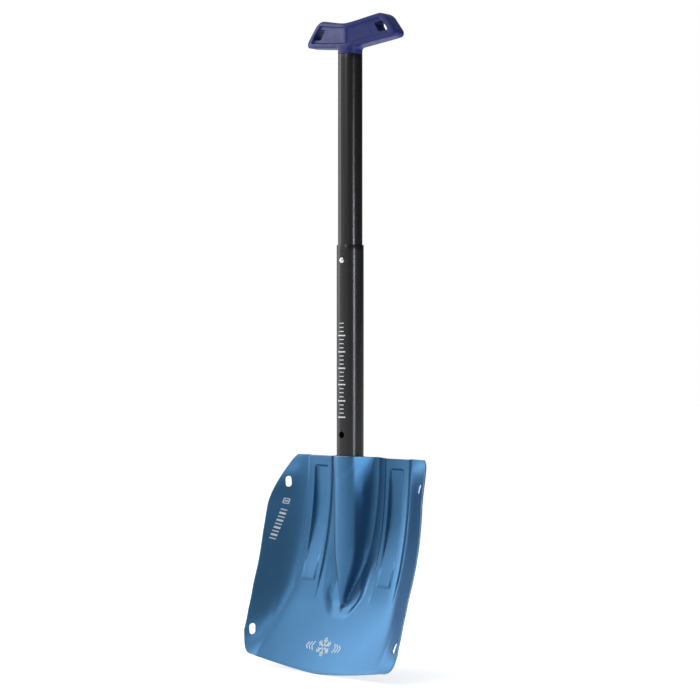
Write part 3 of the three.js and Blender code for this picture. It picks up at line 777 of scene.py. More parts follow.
        # The rim is a half round, so the flat faces stop short of the outline by its radius.
        loop = points[border]
        ahead = np.roll(loop, -1, axis=0) - np.roll(loop, 1, axis=0)
        out = np.cross(ahead, normal[border])
        out /= np.linalg.norm(out, axis=1, keepdims=True)
        centre = points.mean(axis=0)
        if np.mean(np.sum(out * (loop - centre), axis=1)) < 0:
            out = -out
        points[border] = loop - self.rim * out
        back = points + self.sheet * normal
        steps = 6
        rings = []
        for i in range(1, steps):
            turn = math.pi * i / steps
            mid = points[border] + normal[border] * (self.sheet / 2 * (1 - math.cos(turn)))
            rings.append(mid + out * self.rim * math.sin(turn))
        count, ring = height * width, len(border)
        every = np.concatenate([points, back, *rings])
        faces = []
        for r in range(height - 1):
            a = r * width + np.arange(width - 1)
            quads = np.stack([a, a + 1, a + width + 1, a + width], axis=1)
            faces.append(quads)
            faces.append(quads[:, ::-1] + count)
        here, after = np.arange(ring), np.roll(np.arange(ring), -1)
        levels = [border, *[2 * count + i * ring + here for i in range(steps - 1)],
                  border + count]
        for low, high in zip(levels, levels[1:]):
            faces.append(np.stack([low[here], low[after], high[after], high[here]], axis=1))
        obj = mesh_object("blade_sheet", self.seat.place(every), np.concatenate(faces))
        self.mark_rim(obj, every[2 * count:])
        return obj

    @staticmethod
    def border(height: int, width: int) -> np.ndarray:
        """Numbers of the grid's border points, in order around it."""
        bottom = np.arange(width)
        right = np.arange(1, height) * width + width - 1
        top = (height - 1) * width + np.arange(width - 2, -1, -1)
        left = np.arange(height - 2, 0, -1) * width
        return np.concatenate([bottom, right, top, left])

    def mark_rim(self, obj: bpy.types.Object, rim_points: np.ndarray) -> None:
        """Writes how near each vertex lies to the rim.

        Args:
            obj: the sheet.
            rim_points: drawn points along the rim.
        """
        mesh = obj.data
        flat = np.empty(len(mesh.vertices) * 3)
        mesh.vertices.foreach_get("co", flat)
        spots = {tuple(np.round(p, 5)) for p in self.seat.place(rim_points)}
        values = [1.0 if tuple(np.round(p, 5)) in spots else 0.0 for p in flat.reshape(-1, 3)]
        mesh.attributes.new("rim", "FLOAT", "POINT").data.foreach_set("value", values)

    def slot_cutter(self, x: float, z: float) -> tuple[np.ndarray, list[list[int]]]:
        """Rounded bar that cuts one slot square to the sheet.

        Args:
            x: place of the slot across the blade.
            z: its height.

        Returns:
            Drawn points and faces of the bar.
        """
        radius, length = self.slot_size
        straight = length / 2 - radius
        depth = self.normals(np.array(x), np.array(z))
        up = np.array([math.copysign(self.slot_lean, x), 0, 1])
        up -= depth * (up @ depth)
        up /= np.linalg.norm(up)
        across = np.cross(up, depth)
        middle = np.array([x, float(self.front_y(np.array(x), np.array(z))), z])
        ring, half, ahead, behind = [], 16, 8, 10
        for i in range(2 * half):
            turn = math.pi * (i % half) / (half - 1) + (math.pi if i >= half else 0)
            lift = straight if i < half else -straight
            ring.append(across * radius * math.cos(turn) + up * (radius * math.sin(turn) + lift))
        low = [middle + r - ahead * depth for r in ring]
        high = [middle + r + behind * depth for r in ring]
        return np.array(low + high), prism_faces(len(ring))

    def cut_slots(self, obj: bpy.types.Object) -> None:
        """Cuts the four cord slots out of the sheet."""
        points, faces = [], []
        for x, z in self.slots:
            for side in (-1, 1):
                bar, sides = self.slot_cutter(side * x, z)
                start = sum(map(len, points))
                points.append(bar)
                faces += [[start + i for i in f] for f in sides]
        carve(obj, self.seat.place(np.concatenate(points)), faces)

    def build(self, finishes: FinishSet) -> bpy.types.Object:
        """Builds and dresses the blade.

        Args:
            finishes: the shovel's finishes.

        Returns:
            The blade.
        """
        obj = self.sheet_object()
        self.cut_slots(obj)
        soften(obj, 0.35, 2, 60)
        shade(obj, 42)
        return dress(obj, finishes.get("blue_anodised_aluminium"), Body.BLADE, Slot.SHEET, "blade")


# ---------------------------------------------------------------- socket on the blade's back
@dataclass
class SocketBack:
    """Pressed half shell that closes the socket behind the shaft, with its weld beads."""

    blade: Blade
    half: float = 34.0
    bottom: float = 171.0
    top: float = 255.0
    wall: float = 2.0
    gap: float = 0.3
    well: tuple[float, float] = (15.3, 16.3)
    front: float = -2.0
    hole: tuple[float, float] = (4.1, 208.0)
    bead_pitch: float = 1.7
    bead_radius: float = 1.5

    def lines(self, z: float) -> tuple[np.ndarray, np.ndarray, np.ndarray]:
        """Front and rear outline at one height.

        Args:
            z: the height.

        Returns:
            Distances from the middle, front depths and rear depths.
        """
        a = np.concatenate([np.linspace(0, 13, 11), np.linspace(14, 21, 12),
                            np.linspace(22.5, self.half, 8)])
        level = np.full_like(a, z)
        front = np.maximum(self.blade.back_y(a, level) + self.gap + 0.2, self.front)
        flat = float(self.blade.back_y(np.array(self.half - 2), np.array(z)))
        plate = flat + self.gap + self.wall + 0.3
        outer_x, outer_y = self.well[0] + self.wall, self.well[1] + self.wall
        hug = oval_y(outer_x, outer_y, a)
        rear = np.maximum(hug, hug + (plate - hug) * smooth(8, 20, a))
        return a, front, rear

    def shell(self) -> bpy.types.Object:
        """Builds the shell, with the shaft's well and the button's hole cut out."""
        levels = np.linspace(self.bottom, self.top, 43)
        rings = []
        for z in levels:
            a, front, rear = self.lines(float(z))
            sides = np.concatenate([-a[:0:-1], a])
            ring_front = np.concatenate([front[:0:-1], front])
            ring_rear = np.concatenate([rear[:0:-1], rear])
            rings.append(np.stack([
                np.concatenate([sides, sides[::-1]]),
                np.concatenate([ring_front, ring_rear[::-1]]),
                np.full(2 * len(sides), z)], axis=1))
        count, span = len(rings[0]), len(rings[0]) // 2
        faces = band_faces(len(levels), count)
        last = (len(levels) - 1) * count
        for i in range(span - 1):
            j = count - 1 - i
            faces.append([i, j, j - 1, i + 1])
            faces.append([last + i, last + i + 1, last + j - 1, last + j])
        obj = mesh_object("socket_shell", self.blade.seat.place(np.concatenate(rings)), faces)
        self.cut(obj)
        return obj

    def cut(self, obj: bpy.types.Object) -> None:
        """Cuts the shaft's well and the button's hole."""
        past, around, start, depth = 5, 32, 5.0, 35
        low = oval_ring(*self.well, self.bottom - past, 96)
        high = oval_ring(*self.well, self.top + past, 96)
        radius, z = self.hole
        turn = 2 * np.pi * np.arange(around) / around
        near = np.stack([radius * np.cos(turn), np.full(around, start),
                         z + radius * np.sin(turn)], 1)
        for rings in ((low, high), (near, near + (0, depth, 0))):
            carve(obj, self.blade.seat.place(np.concatenate(rings)), prism_faces(len(rings[0])))

    def bead_path(self) -> np.ndarray:
        """Drawn points of the weld's path down the right flange and its mirror image."""
        z = np.linspace(self.top - 4, self.bottom + 3, 40)
        x = np.full_like(z, self.half + 0.6)
        y = self.blade.back_y(x, z) + 0.5
        right = np.stack([x, y, z], axis=1)
        return np.stack([right, right * (-1, 1, 1)])

    def bead_tree(self, material: bpy.types.Material) -> bpy.types.NodeTree:
        """Node tree that lays flattened ripples along a path.

        Args:
            material: the beads' finish.

        Returns:
            The tree, with the ripples' pitch and radius as inputs.
        """
        tree = bpy.data.node_groups.new("weld_ripples", "GeometryNodeTree")
        face = tree.interface
        face.new_socket("Geometry", in_out="INPUT", socket_type="NodeSocketGeometry")
        face.new_socket("Pitch", in_out="INPUT", socket_type="NodeSocketFloat")
        face.new_socket("Radius", in_out="INPUT", socket_type="NodeSocketFloat")
        face.new_socket("Geometry", in_out="OUTPUT", socket_type="NodeSocketGeometry")
        start = add_node(tree, "NodeGroupInput")
        rail = add_node(tree, "GeometryNodeMeshToCurve", None, {"Mesh": start.outputs["Geometry"]})
        spaced = add_node(tree, "GeometryNodeResampleCurve", {"mode": "LENGTH"}, {
            "Curve": rail.outputs[0], "Length": start.outputs["Pitch"]})
        ripple = add_node(tree, "GeometryNodeMeshUVSphere", None, {
            "Segments": 8, "Rings": 6, "Radius": start.outputs["Radius"]})
        jitter = add_node(tree, "FunctionNodeRandomValue", {"data_type": "FLOAT_VECTOR"}, {
            "Min": (0.92, 0.42, 0.66), "Max": (1.08, 0.52, 0.78), "Seed": 7})
        laid = add_node(tree, "GeometryNodeInstanceOnPoints", None, {
            "Points": spaced.outputs[0], "Instance": ripple.outputs["Mesh"],
            "Scale": jitter.outputs["Value"]})
        real = add_node(tree, "GeometryNodeRealizeInstances", None, {0: laid.outputs[0]})
        smoothed = add_node(tree, "GeometryNodeSetShadeSmooth", None, {0: real.outputs[0]})
        dressed = add_node(tree, "GeometryNodeSetMaterial", None, {
            "Geometry": smoothed.outputs[0], "Material": material})
        add_node(tree, "NodeGroupOutput", None, {0: dressed.outputs[0]})
        return tree

    def beads(self, material: bpy.types.Material) -> bpy.types.Object:
        """Builds the weld beads along both flanges."""
        paths = self.bead_path()
        count = paths.shape[1]
        points = self.blade.seat.place(paths.reshape(-1, 3))
        mesh = bpy.data.meshes.new("weld_path")
        edges = [(s * count + i, s * count + i + 1) for s in (0, 1) for i in range(count - 1)]
        mesh.from_pydata([tuple(map(float, p)) for p in points], edges, [])
        obj = link("socket_weld_beads", mesh)
        tree = self.bead_tree(material)
        nodes = obj.modifiers.new("ripples", "NODES")
        nodes.node_group = tree
        sockets = {s.name: s.identifier for s in tree.interface.items_tree if s.in_out == "INPUT"}
        nodes[sockets["Pitch"]] = self.bead_pitch * MM
        nodes[sockets["Radius"]] = self.bead_radius * MM
        return bake_modifiers(obj)

    def build(self, finishes: FinishSet) -> list[bpy.types.Object]:
        """Builds and dresses the socket and its welds.

        Args:
            finishes: the shovel's finishes.

        Returns:
            The shell and the beads.
        """
        shell = self.shell()
        soften(shell, 0.4, 2, 55)
        shade(shell, 40)
        material = finishes.get("blue_anodised_aluminium")
        beads = self.beads(material)
        return [dress(shell, material, Body.BLADE, Slot.SHEET_BACK, "socket_back"),
                dress(beads, material, Body.BLADE, Slot.SHEET_BACK)]


# ---------------------------------------------------------------- tubes
@dataclass(frozen=True)
class LockHole:
    """Round hole through one wall of a tube: height, side along Y and radius."""

    height: float
    side: int
    radius: float = 4.1


@dataclass
class ShaftTube:
    """Drawn tube of rounded-square section, with lock holes."""

    seat: Seat
    node: str
    body: Body
    half_x: float
    half_y: float
    bottom: float
    top: float
    holes: tuple[LockHole, ...]
    wall: float = 1.2
    around: int = 112
    along: int = 48

    def tree(self, material: bpy.types.Material) -> bpy.types.NodeTree:
        """Node tree that draws the tube by its section's rule and cuts its holes.

        Args:
            material: the tube's finish.

        Returns:
            The tree, with the tube's sizes and the holes' places as inputs.
        """
        tree = bpy.data.node_groups.new(self.node + "_rule", "GeometryNodeTree")
        names = ["Half X", "Half Y", "Wall", "Bottom", "Top", "Power", "Axis Y"]
        for i in range(len(self.holes)):
            names += [f"Hole {i} Height", f"Hole {i} Y", f"Hole {i} Radius"]
        for name in names:
            tree.interface.new_socket(name, in_out="INPUT", socket_type="NodeSocketFloat")
        tree.interface.new_socket("Geometry", in_out="OUTPUT", socket_type="NodeSocketGeometry")
        size = add_node(tree, "NodeGroupInput").outputs
        levels = 2 * self.along
        grid = add_node(tree, "GeometryNodeMeshGrid", None, {
            "Size X": 1.0, "Size Y": 1.0, "Vertices X": self.around + 1,
            "Vertices Y": levels + 1})
        at = add_node(tree, "ShaderNodeSeparateXYZ", None, {
            0: add_node(tree, "GeometryNodeInputPosition").outputs[0]})
        # Angle round the section, from 0 to a full turn.
        turn = calc(tree, "MULTIPLY_ADD", at.outputs["X"], 2 * math.pi, math.pi)
        cosine = calc(tree, "COSINE", turn)
        sine = calc(tree, "SINE", turn)
        # Level number: up the outside, then down the inside, then back to the start.
        share = calc(tree, "ADD", at.outputs["Y"], 0.5)
        level = calc(tree, "MULTIPLY", share, float(levels))
        level = calc(tree, "ROUND", level)
        rising = calc(tree, "DIVIDE", level, float(self.along - 1))
        falling = calc(tree, "MULTIPLY_ADD", level, -1.0 / (self.along - 1),
                       1.0 + self.along / (self.along - 1))
        height = calc(tree, "MINIMUM", rising, falling, use_clamp=True)
        past = calc(tree, "GREATER_THAN", level, self.along - 0.5)
        home = calc(tree, "LESS_THAN", level, levels - 0.5)
        inside = calc(tree, "MULTIPLY", past, home)
        inset = calc(tree, "MULTIPLY", inside, size["Wall"])
        terms = []
        for half, wave in (("Half X", cosine), ("Half Y", sine)):
            here = calc(tree, "SUBTRACT", size[half], inset)
            ratio = calc(tree, "DIVIDE", wave, here)
            plain = calc(tree, "ABSOLUTE", ratio)
            terms.append(calc(tree, "POWER", plain, size["Power"]))
        total = calc(tree, "ADD", terms[0], terms[1])
        root = calc(tree, "DIVIDE", -1.0, size["Power"])
        reach = calc(tree, "POWER", total, root)
        x = calc(tree, "MULTIPLY", reach, cosine)
        y = calc(tree, "MULTIPLY_ADD", reach, sine, size["Axis Y"])
        span = calc(tree, "SUBTRACT", size["Top"], size["Bottom"])
        z = calc(tree, "MULTIPLY_ADD", height, span, size["Bottom"])
        spot = add_node(tree, "ShaderNodeCombineXYZ", None, {0: x, 1: y, 2: z})
        skin = add_node(tree, "GeometryNodeSetPosition", None, {
            "Geometry": grid.outputs["Mesh"], "Position": spot.outputs[0]})
        closed = add_node(tree, "GeometryNodeMergeByDistance", None, {
            "Geometry": skin.outputs[0], "Distance": 1e-6})
        outward = add_node(tree, "GeometryNodeFlipFaces", None, {0: closed.outputs[0]})
        cutters = add_node(tree, "GeometryNodeJoinGeometry")
        for i in range(len(self.holes)):
            drill = add_node(tree, "GeometryNodeMeshCylinder", None, {
                "Vertices": 40, "Radius": size[f"Hole {i} Radius"], "Depth": 0.02})
            where = add_node(tree, "ShaderNodeCombineXYZ", None, {
                1: size[f"Hole {i} Y"], 2: size[f"Hole {i} Height"]})
            moved = add_node(tree, "GeometryNodeTransform", None, {
                "Geometry": drill.outputs["Mesh"], "Translation": where.outputs[0],
                "Rotation": (math.pi / 2, 0.0, 0.0)})
            tree.links.new(moved.outputs[0], cutters.inputs[0])
        drilled = add_node(tree, "GeometryNodeMeshBoolean", {"operation": "DIFFERENCE"}, {
            "Mesh 1": outward.outputs[0], "Mesh 2": cutters.outputs[0]})
        real = add_node(tree, "GeometryNodeRealizeInstances", None, {0: drilled.outputs[0]})
        dressed = add_node(tree, "GeometryNodeSetMaterial", None, {
            "Geometry": real.outputs[0], "Material": material})
        add_node(tree, "NodeGroupOutput", None, {0: dressed.outputs[0]})
        return tree

    def build(self, finishes: FinishSet) -> bpy.types.Object:
        """Builds and dresses the tube.

        Args:
            finishes: the shovel's finishes.

        Returns:
            The tube.
        """
        material = finishes.get("black_anodised_aluminium")
        tree = self.tree(material)
        obj = link(self.node + "_drawn", bpy.data.meshes.new(self.node))
        nodes = obj.modifiers.new("rule", "NODES")
        nodes.node_group = tree
        values = {
            "Half X": self.half_x * MM, "Half Y": self.half_y * MM, "Wall": self.wall * MM,
            "Bottom": (self.bottom + self.seat.base_z) * MM,
            "Top": (self.top + self.seat.base_z) * MM, "Power": SECTION_POWER,
            "Axis Y": self.seat.axis_y * MM,
        }
        for i, hole in enumerate(self.holes):
            values[f"Hole {i} Height"] = (hole.height + self.seat.base_z) * MM
            values[f"Hole {i} Y"] = (self.seat.axis_y + 16 * hole.side) * MM
            values[f"Hole {i} Radius"] = hole.radius * MM
        for socket in tree.interface.items_tree:
            if socket.in_out == "INPUT":
                nodes[socket.identifier] = values[socket.name]
        bake_modifiers(obj)
        soften(obj, 0.28, 2, 55)
        shade(obj, 35)
        return dress(obj, material, self.body, Slot.TUBE, self.node)


# ---------------------------------------------------------------- grip
def rounded_box(points: Sequence[np.ndarray], half: Sequence, radius: float) -> np.ndarray:
    """Signed distance to a box with rounded edges.

    Args:
        points: the three coordinates, measured from the box's middle.
        half: half sizes, which may vary from place to place.
        radius: radius of the edges.

    Returns:
        Distances, negative inside.
    """
    past = [np.abs(p) - h + radius for p, h in zip(points, half)]
    outside = np.sqrt(sum(np.maximum(q, 0) ** 2 for q in past))
    inside = np.minimum(np.maximum(np.maximum(past[0], past[1]), past[2]), 0)
    return outside + inside - radius


def surface_net(values: np.ndarray, low: np.ndarray, step: float) -> tuple[np.ndarray, np.ndarray]:
    """Turns a distance field into a closed mesh of quads.

    Args:
        values: distances at the grid's points, negative inside.
        low: the grid's lowest corner.
        step: its spacing.

    Returns:
        Vertices and quads.
    """
    cells = np.array(values.shape) - 1
    total = int(np.prod(cells))
    weights, places, quads = np.zeros(total), np.zeros((total, 3)), []
    for axis in range(3):
        near, far = [slice(None)] * 3, [slice(None)] * 3
        near[axis], far[axis] = slice(0, -1), slice(1, None)
        first, second = values[tuple(near)], values[tuple(far)]
        spots = np.argwhere((first < 0) != (second < 0))
        a, b = first[tuple(spots.T)], second[tuple(spots.T)]
        where = spots.astype(float)
        where[:, axis] += a / (a - b)
        u, v = [(axis + 1) % 3, (axis + 2) % 3]
        around = []
        for du, dv in ((0, 0), (1, 0), (1, 1), (0, 1)):
            cell = spots.copy()
            cell[:, u] -= du
            cell[:, v] -= dv
            number = (cell[:, 0] * cells[1] + cell[:, 1]) * cells[2] + cell[:, 2]
            weights += np.bincount(number, minlength=total)
            for d in range(3):
                places[:, d] += np.bincount(number, weights=where[:, d], minlength=total)
            around.append(number)
        ring = np.stack(around, axis=1)
        quads.append(np.where((a < 0)[:, None], ring, ring[:, ::-1]))
    used = weights > 0
    rank = np.cumsum(used) - 1
    points = places[used] / weights[used][:, None] * step + low
    return points, rank[np.concatenate(quads)]


@dataclass
class Grip:
    """Moulded T-grip: swept arms with a recessed front face, cord openings and a ribbed back."""

    seat: Seat
    half: float = 64.4
    centre: float = 770.5
    rise: float = 0.163
    half_height: float = 15.4
    front: tuple[float, float] = (-11.5, 0.19)
    back: tuple[float, float] = (12.5, 0.11)
    lean: float = 0.76
    lean_reach: float = 61.0
    bend_round: float = 6.0
    edge: float = 3.6
    corner: float = 8.5
    recess: float = 2.5
    rim: float = 5.6
    cap: float = 3.4
    face: float = 3.6
    wall: float = 3.6
    spine: float = 4.6
    opening: tuple[float, float, float] = (43.0, 57.0, 6.5)
    neck: tuple[float, float] = (13.5, 14.5)
    tube_top: float = 748.0
    spigot: tuple[float, float, float] = (12.0, 13.0, 700.0)
    rivet: tuple[float, float] = (2.7, 734.0)
    ribs: tuple[float, ...] = (26.0, 35.5)
    cell: float = 0.72
    space: tuple[tuple[float, float, float], ...] = ((-78.0, -17.0, 698.5), (78.0, 23.5, 798.0))

    def bend(self, s: np.ndarray) -> np.ndarray:
        """How far out along an arm a place is, rounded at the middle."""
        return np.sqrt(s * s + self.bend_round ** 2) - self.bend_round

    @staticmethod
    def oval(x: np.ndarray, y: np.ndarray, half_x: float, half_y: float) -> np.ndarray:
        """Measure that is 1 on a rounded-square section and less inside it."""
        power = SECTION_POWER
        return ((np.abs(x) / half_x) ** power + (np.abs(y) / half_y) ** power) ** (1 / power)

    def distance(self, points: np.ndarray) -> np.ndarray:
        """Signed distance to the grip.

        Args:
            points: drawn points.

        Returns:
            Distances, negative inside.
        """
        x, y, z = points[..., 0], points[..., 1], points[..., 2]
        s = x
        for _ in range(3):
            lean = self.lean * np.sign(s) * smooth(0, self.lean_reach, np.abs(s))
            s = x + lean * (z - self.centre - self.rise * self.bend(s))
        bend = self.bend(s)
        q = z - self.centre - self.rise * bend
        front = self.front[0] + self.front[1] * bend
        back = self.back[0] + self.back[1] * bend
        a, w, half_depth = np.abs(s), y - front, (back - front) / 2
        plan = rounded_box((s, q * 0, q), (self.half, 40, self.half_height), self.corner)
        arms = rounded_box((plan + 40, w - half_depth, q * 0), (40, half_depth, 40), self.edge)
        # Front recess inside a rim, with a low bulge up its middle.
        outer = self.half - self.cap - self.rim
        floor = self.recess - 1.3 * (1 - smooth(0.4, self.spine, a))
        recess = rounded_box((a, w + 10, q), (
            outer, floor + 10, self.half_height - self.rim), 1.5)
        arms = -soft_min(-arms, recess, 1.2)
        # Hollow back, with thin ribs across it.
        inner, outer = 18.5, self.half - self.cap - self.wall
        floor = self.recess + self.face
        hollow = rounded_box((a - (inner + outer) / 2, w - floor - 20, q), (
            (outer - inner) / 2, 20, self.half_height - self.wall), 2.2)
        for place in self.ribs:
            rib = rounded_box((a - place, w - floor - 5, q), (1.1, 9.5, 20), 0.6)
            hollow = -soft_min(-hollow, rib, 1.5)
        low, high, tall = self.opening
        slot = rounded_box((a - (low + high) / 2, w * 0, q), ((high - low) / 2, 1, tall), 3.2)
        collar = np.maximum(slot - 2.2, w - 2 * half_depth + 1.2)
        hollow = -soft_min(-hollow, collar, 1.5)
        arms = -soft_min(-arms, hollow, 1.0)
        arms = -soft_min(-arms, slot, 1.3)
        # Neck, flush with the tube below it.
        oval = self.oval(x, y, *self.neck)
        top = (z - self.tube_top - 6.5 - 1.1 * (y + self.neck[1])) / 1.49
        neck = -soft_min(-(oval - 1) * self.neck[0], -top, 1.5)
        solid = soft_min(arms, neck, 3.5)
        solid = np.maximum(solid, self.tube_top + 0.3 - z)
        core = self.oval(x, y, *self.spigot[:2])
        stub = np.maximum((core - 1) * self.spigot[0],
                          np.maximum(self.spigot[2] - z, z - self.tube_top - 5))
        solid = np.minimum(solid, stub)
        drill = np.sqrt(x * x + (z - self.rivet[1]) ** 2) - self.rivet[0]
        return np.maximum(solid, -np.maximum(drill, 2 - y))

    def build(self, finishes: FinishSet) -> bpy.types.Object:
        """Builds and dresses the grip.

        Args:
            finishes: the shovel's finishes.

        Returns:
            The grip.
        """
        low, high = np.array(self.space)
        shape = np.ceil((high - low) / self.cell).astype(int) + 1
        axes = [low[d] + self.cell * np.arange(shape[d]) for d in range(3)]
        grid = np.stack(np.meshgrid(*axes, indexing="ij"), axis=-1)
        points, quads = surface_net(self.distance(grid), low, self.cell)
        # Pull every vertex on to the true surface, by a limited move each time.
        probe, least, most = 0.08, 0.2, 0.3
        for _ in range(3):
            value = self.distance(points)
            slope = np.stack([self.distance(points + probe * e) - self.distance(points - probe * e)
                              for e in np.eye(3)], axis=1) / (2 * probe)
            size = np.maximum(np.sum(slope ** 2, axis=1), least)
            move = slope * (value / size)[:, None]
            points -= np.clip(move, -most, most)
        obj = mesh_object("grip_moulding", self.seat.place(points), quads)
        shade(obj, 60)
        return dress(obj, finishes.get("navy_moulded_nylon"), Body.UPPER_SHAFT, Slot.GRIP, "grip")


# ---------------------------------------------------------------- turned pieces
@dataclass
class TurnedPiece:
    """Piece turned about an axis along Y: a lock button or a rivet."""

    seat: Seat
    node: str
    body: Body
    height: float
    profile: Rows
    side: int = 1
    around: int = 48

    def build(self, finishes: FinishSet) -> bpy.types.Object:
        """Turns the profile and dresses the piece.

        Args:
            finishes: the shovel's finishes.

        Returns:
            The piece.
        """
        points, faces = [], band_faces(len(self.profile), self.around)
        turn = 2 * np.pi * np.arange(self.around) / self.around
        for radius, depth in self.profile:
            ring = np.stack([radius * np.cos(turn), np.full(self.around, self.side * depth),
                             self.height + radius * np.sin(turn)], axis=1)
            points.append(ring)
        last = (len(self.profile) - 1) * self.around
        faces += [list(range(self.around)), list(range(last, last + self.around))]
        obj = mesh_object(self.node + "_turned", self.seat.place(np.concatenate(points)), faces)
        soften(obj, 0.15, 2, 45)
        shade(obj, 35)
        return dress(obj, finishes.get("nickel_plate"), self.body, Slot.NICKEL, self.node)

    @staticmethod
    def button_profile(base: float, crown: float) -> Rows:
        """Profile of a lock button with a flange inside the tube and a domed crown.

        Args:
            base: depth at which the flange starts.
            crown: depth of the crown's middle.

        Returns:
            Radii and depths from the flange to the crown.
        """
        flange, stem, dome = 5.4, 3.8, 1.9
        rows = [(flange, base), (flange, base + 1), (stem, base + 1), (stem, crown - dome)]
        for i in range(1, 10):
            turn = math.pi / 2 * i / 9.6
            rows.append((stem * math.cos(turn), crown - dome + dome * math.sin(turn)))
        return tuple(rows)


# ---------------------------------------------------------------- printed marks
@dataclass
class PrintedMarks:
    """Thin printed marks that follow a surface: plain bars, a square and a six-armed crystal."""

    blade: Blade
    tube: tuple[float, float] = (15.0, 16.0)
    film: float = 0.05
    lift: float = 0.02

    def on_blade(self, x: np.ndarray, z: np.ndarray) -> np.ndarray:
        """Front face of the blade under a mark."""
        return self.blade.front_y(x, z)

    def on_tube(self, x: np.ndarray, z: np.ndarray) -> np.ndarray:
        """Front of the lower tube under a mark."""
        return -oval_y(*self.tube, x) + 0 * z

    def strip(self, start: tuple[float, float], end: tuple[float, float], width: float,
              under: Callable[[np.ndarray, np.ndarray], np.ndarray]
              ) -> tuple[np.ndarray, list[list[int]]]:
        """One printed bar laid on a surface.

        Args:
            start: X and Z of one end of its middle line.
            end: X and Z of the other end.
            width: its width.
            under: gives the surface's depth.

        Returns:
            Drawn points and faces of a thin closed film.
        """
        a, b = np.array(start, float), np.array(end, float)
        run = b - a
        length = float(np.linalg.norm(run))
        along = run / length
        across = np.array([-along[1], along[0]])
        rows, cols = max(2, int(length / 1.0) + 1), max(2, int(width / 1.0) + 2)
        s, w = np.meshgrid(np.linspace(0, length, rows), np.linspace(-width / 2, width / 2, cols),
                           indexing="ij")
        x = a[0] + along[0] * s + across[0] * w
        z = a[1] + along[1] * s + across[1] * w
        y = under(x, z) - self.lift
        outer = np.stack([x, y - self.film, z], axis=-1).reshape(-1, 3)
        inner = np.stack([x, y, z], axis=-1).reshape(-1, 3)
        count, faces = rows * cols, []
        for r in range(rows - 1):
            for c in range(cols - 1):
                i = r * cols + c
                quad = [i, i + 1, i + cols + 1, i + cols]
                faces += [quad, [count + j for j in quad[::-1]]]
        loop = Blade.border(rows, cols).tolist()
        for i, j in zip(loop, loop[1:] + loop[:1]):
            faces.append([i, j, j + count, i + count])
        return np.concatenate([outer, inner]), faces

    def gather(self, name: str, bars: Sequence[tuple], under: Callable) -> bpy.types.Object:
        """Joins printed bars into one piece.

        Args:
            name: the piece's name.
            bars: (start, end, width) of each bar.
            under: gives the surface's depth.

        Returns:
            The printed piece.
        """
        points, faces, start = [], [], 0
        for a, b, width in bars:
            spots, sides = self.strip(a, b, width, under)
            points.append(spots)
            faces += [[start + i for i in f] for f in sides]
            start += len(spots)
        return mesh_object(name, self.blade.seat.place(np.concatenate(points)), faces)

    def crystal(self, centre: tuple[float, float], reach: float) -> list[tuple]:
        """Bars of a generic six-armed snow crystal."""
        bars = []
        cx, cz = centre
        for arm in range(6):
            turn = math.pi / 3 * arm
            dx, dz = math.sin(turn), math.cos(turn)
            bars.append(((cx + 1.6 * dx, cz + 1.6 * dz), (cx + reach * dx, cz + reach * dz), 1.7))
            for share in (0.5, 0.78):
                root = (cx + reach * share * dx, cz + reach * share * dz)
                for lean in (-1, 1):
                    tip = turn + lean * math.pi / 3.6
                    size = reach * (0.36 if share < 0.6 else 0.24)
                    bars.append((root, (root[0] + size * math.sin(tip),
                                        root[1] + size * math.cos(tip)), 1.3))
        return bars

    def build(self, finishes: FinishSet) -> list[bpy.types.Object]:
        """Builds the marks on the blade and the tube.

        Args:
            finishes: the shovel's finishes.

        Returns:
            The printed pieces.
        """
        ink = finishes.get("grey_pad_ink")
        x, z = centre = (-4.5, 30.5)
        low = self.crystal(centre, 10.5)
        for side in (-1, 1):
            for i in range(3):
                near = x + side * (15.5 + 4.2 * i)
                tip, reach = (near + side * 3.2, z), 5 - 0.6 * i
                low += [((near, z - reach), tip, 1.4), (tip, (near, z + reach), 1.4)]
        wing = []
        foot, run, arm, bars = (-115.2, 152.0), (8.0, 35.5), (3.4, 1.0), 9
        for i in range(bars):
            share = i / (bars - 1)
            x, z = foot[0] + run[0] * share, foot[1] + run[1] * share
            wing.append(((x - arm[0], z + arm[1]), (x + arm[0], z - arm[1]),
                         2.4 if i % 2 else 1.3))
        corner = [(-109.0, 196.2), (-103.2, 195.0), (-102.0, 200.8), (-107.8, 202.0)]
        for a, b in zip(corner, corner[1:] + corner[:1]):
            wing.append((a, b, 1.1))
        wing.append(((-107.4, 198.9), (-103.6, 198.1), 1.6))
        ticks = []
        first, span, count, group = 306.5, 114.0, 24, 4
        for i in range(count):
            wide, thick = (3.4, 1.0) if i % group else (5.6, 1.6)
            z = first + i * (span / (count - 1))
            ticks.append(((-wide, z), (wide, z), thick))
        return [
            dress(self.gather("blade_lower_mark", low, self.on_blade), ink, Body.BLADE,
                  Slot.SHEET),
            dress(self.gather("blade_wing_mark", wing, self.on_blade), ink, Body.BLADE,
                  Slot.SHEET),
            dress(self.gather("tube_scale_mark", ticks, self.on_tube), ink, Body.LOWER_SHAFT,
                  Slot.TUBE),
        ]


# ---------------------------------------------------------------- parts kept from the CAD
@dataclass
class HiddenHardware:
    """Springs, plugs and other pieces inside the shaft that keep their CAD shape."""

    finishes: dict[str, str] = field(default_factory=lambda: {
        "blade_button_spring": "spring_steel",
        "extension_button_spring": "spring_steel",
        "lower_tube_plug": "black_moulded_nylon",
        "upper_tube_plug": "black_moulded_nylon",
    })

    def build(self, finishes: FinishSet) -> None:
        """Gives each kept node its finish.

        Args:
            finishes: the shovel's finishes.
        """
        for node, name in self.finishes.items():
            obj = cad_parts[node]
            obj.data.materials.clear()
            obj.data.materials.append(finishes.get(name))
            LOG.info("%s: kept from the CAD in %s", node, name)


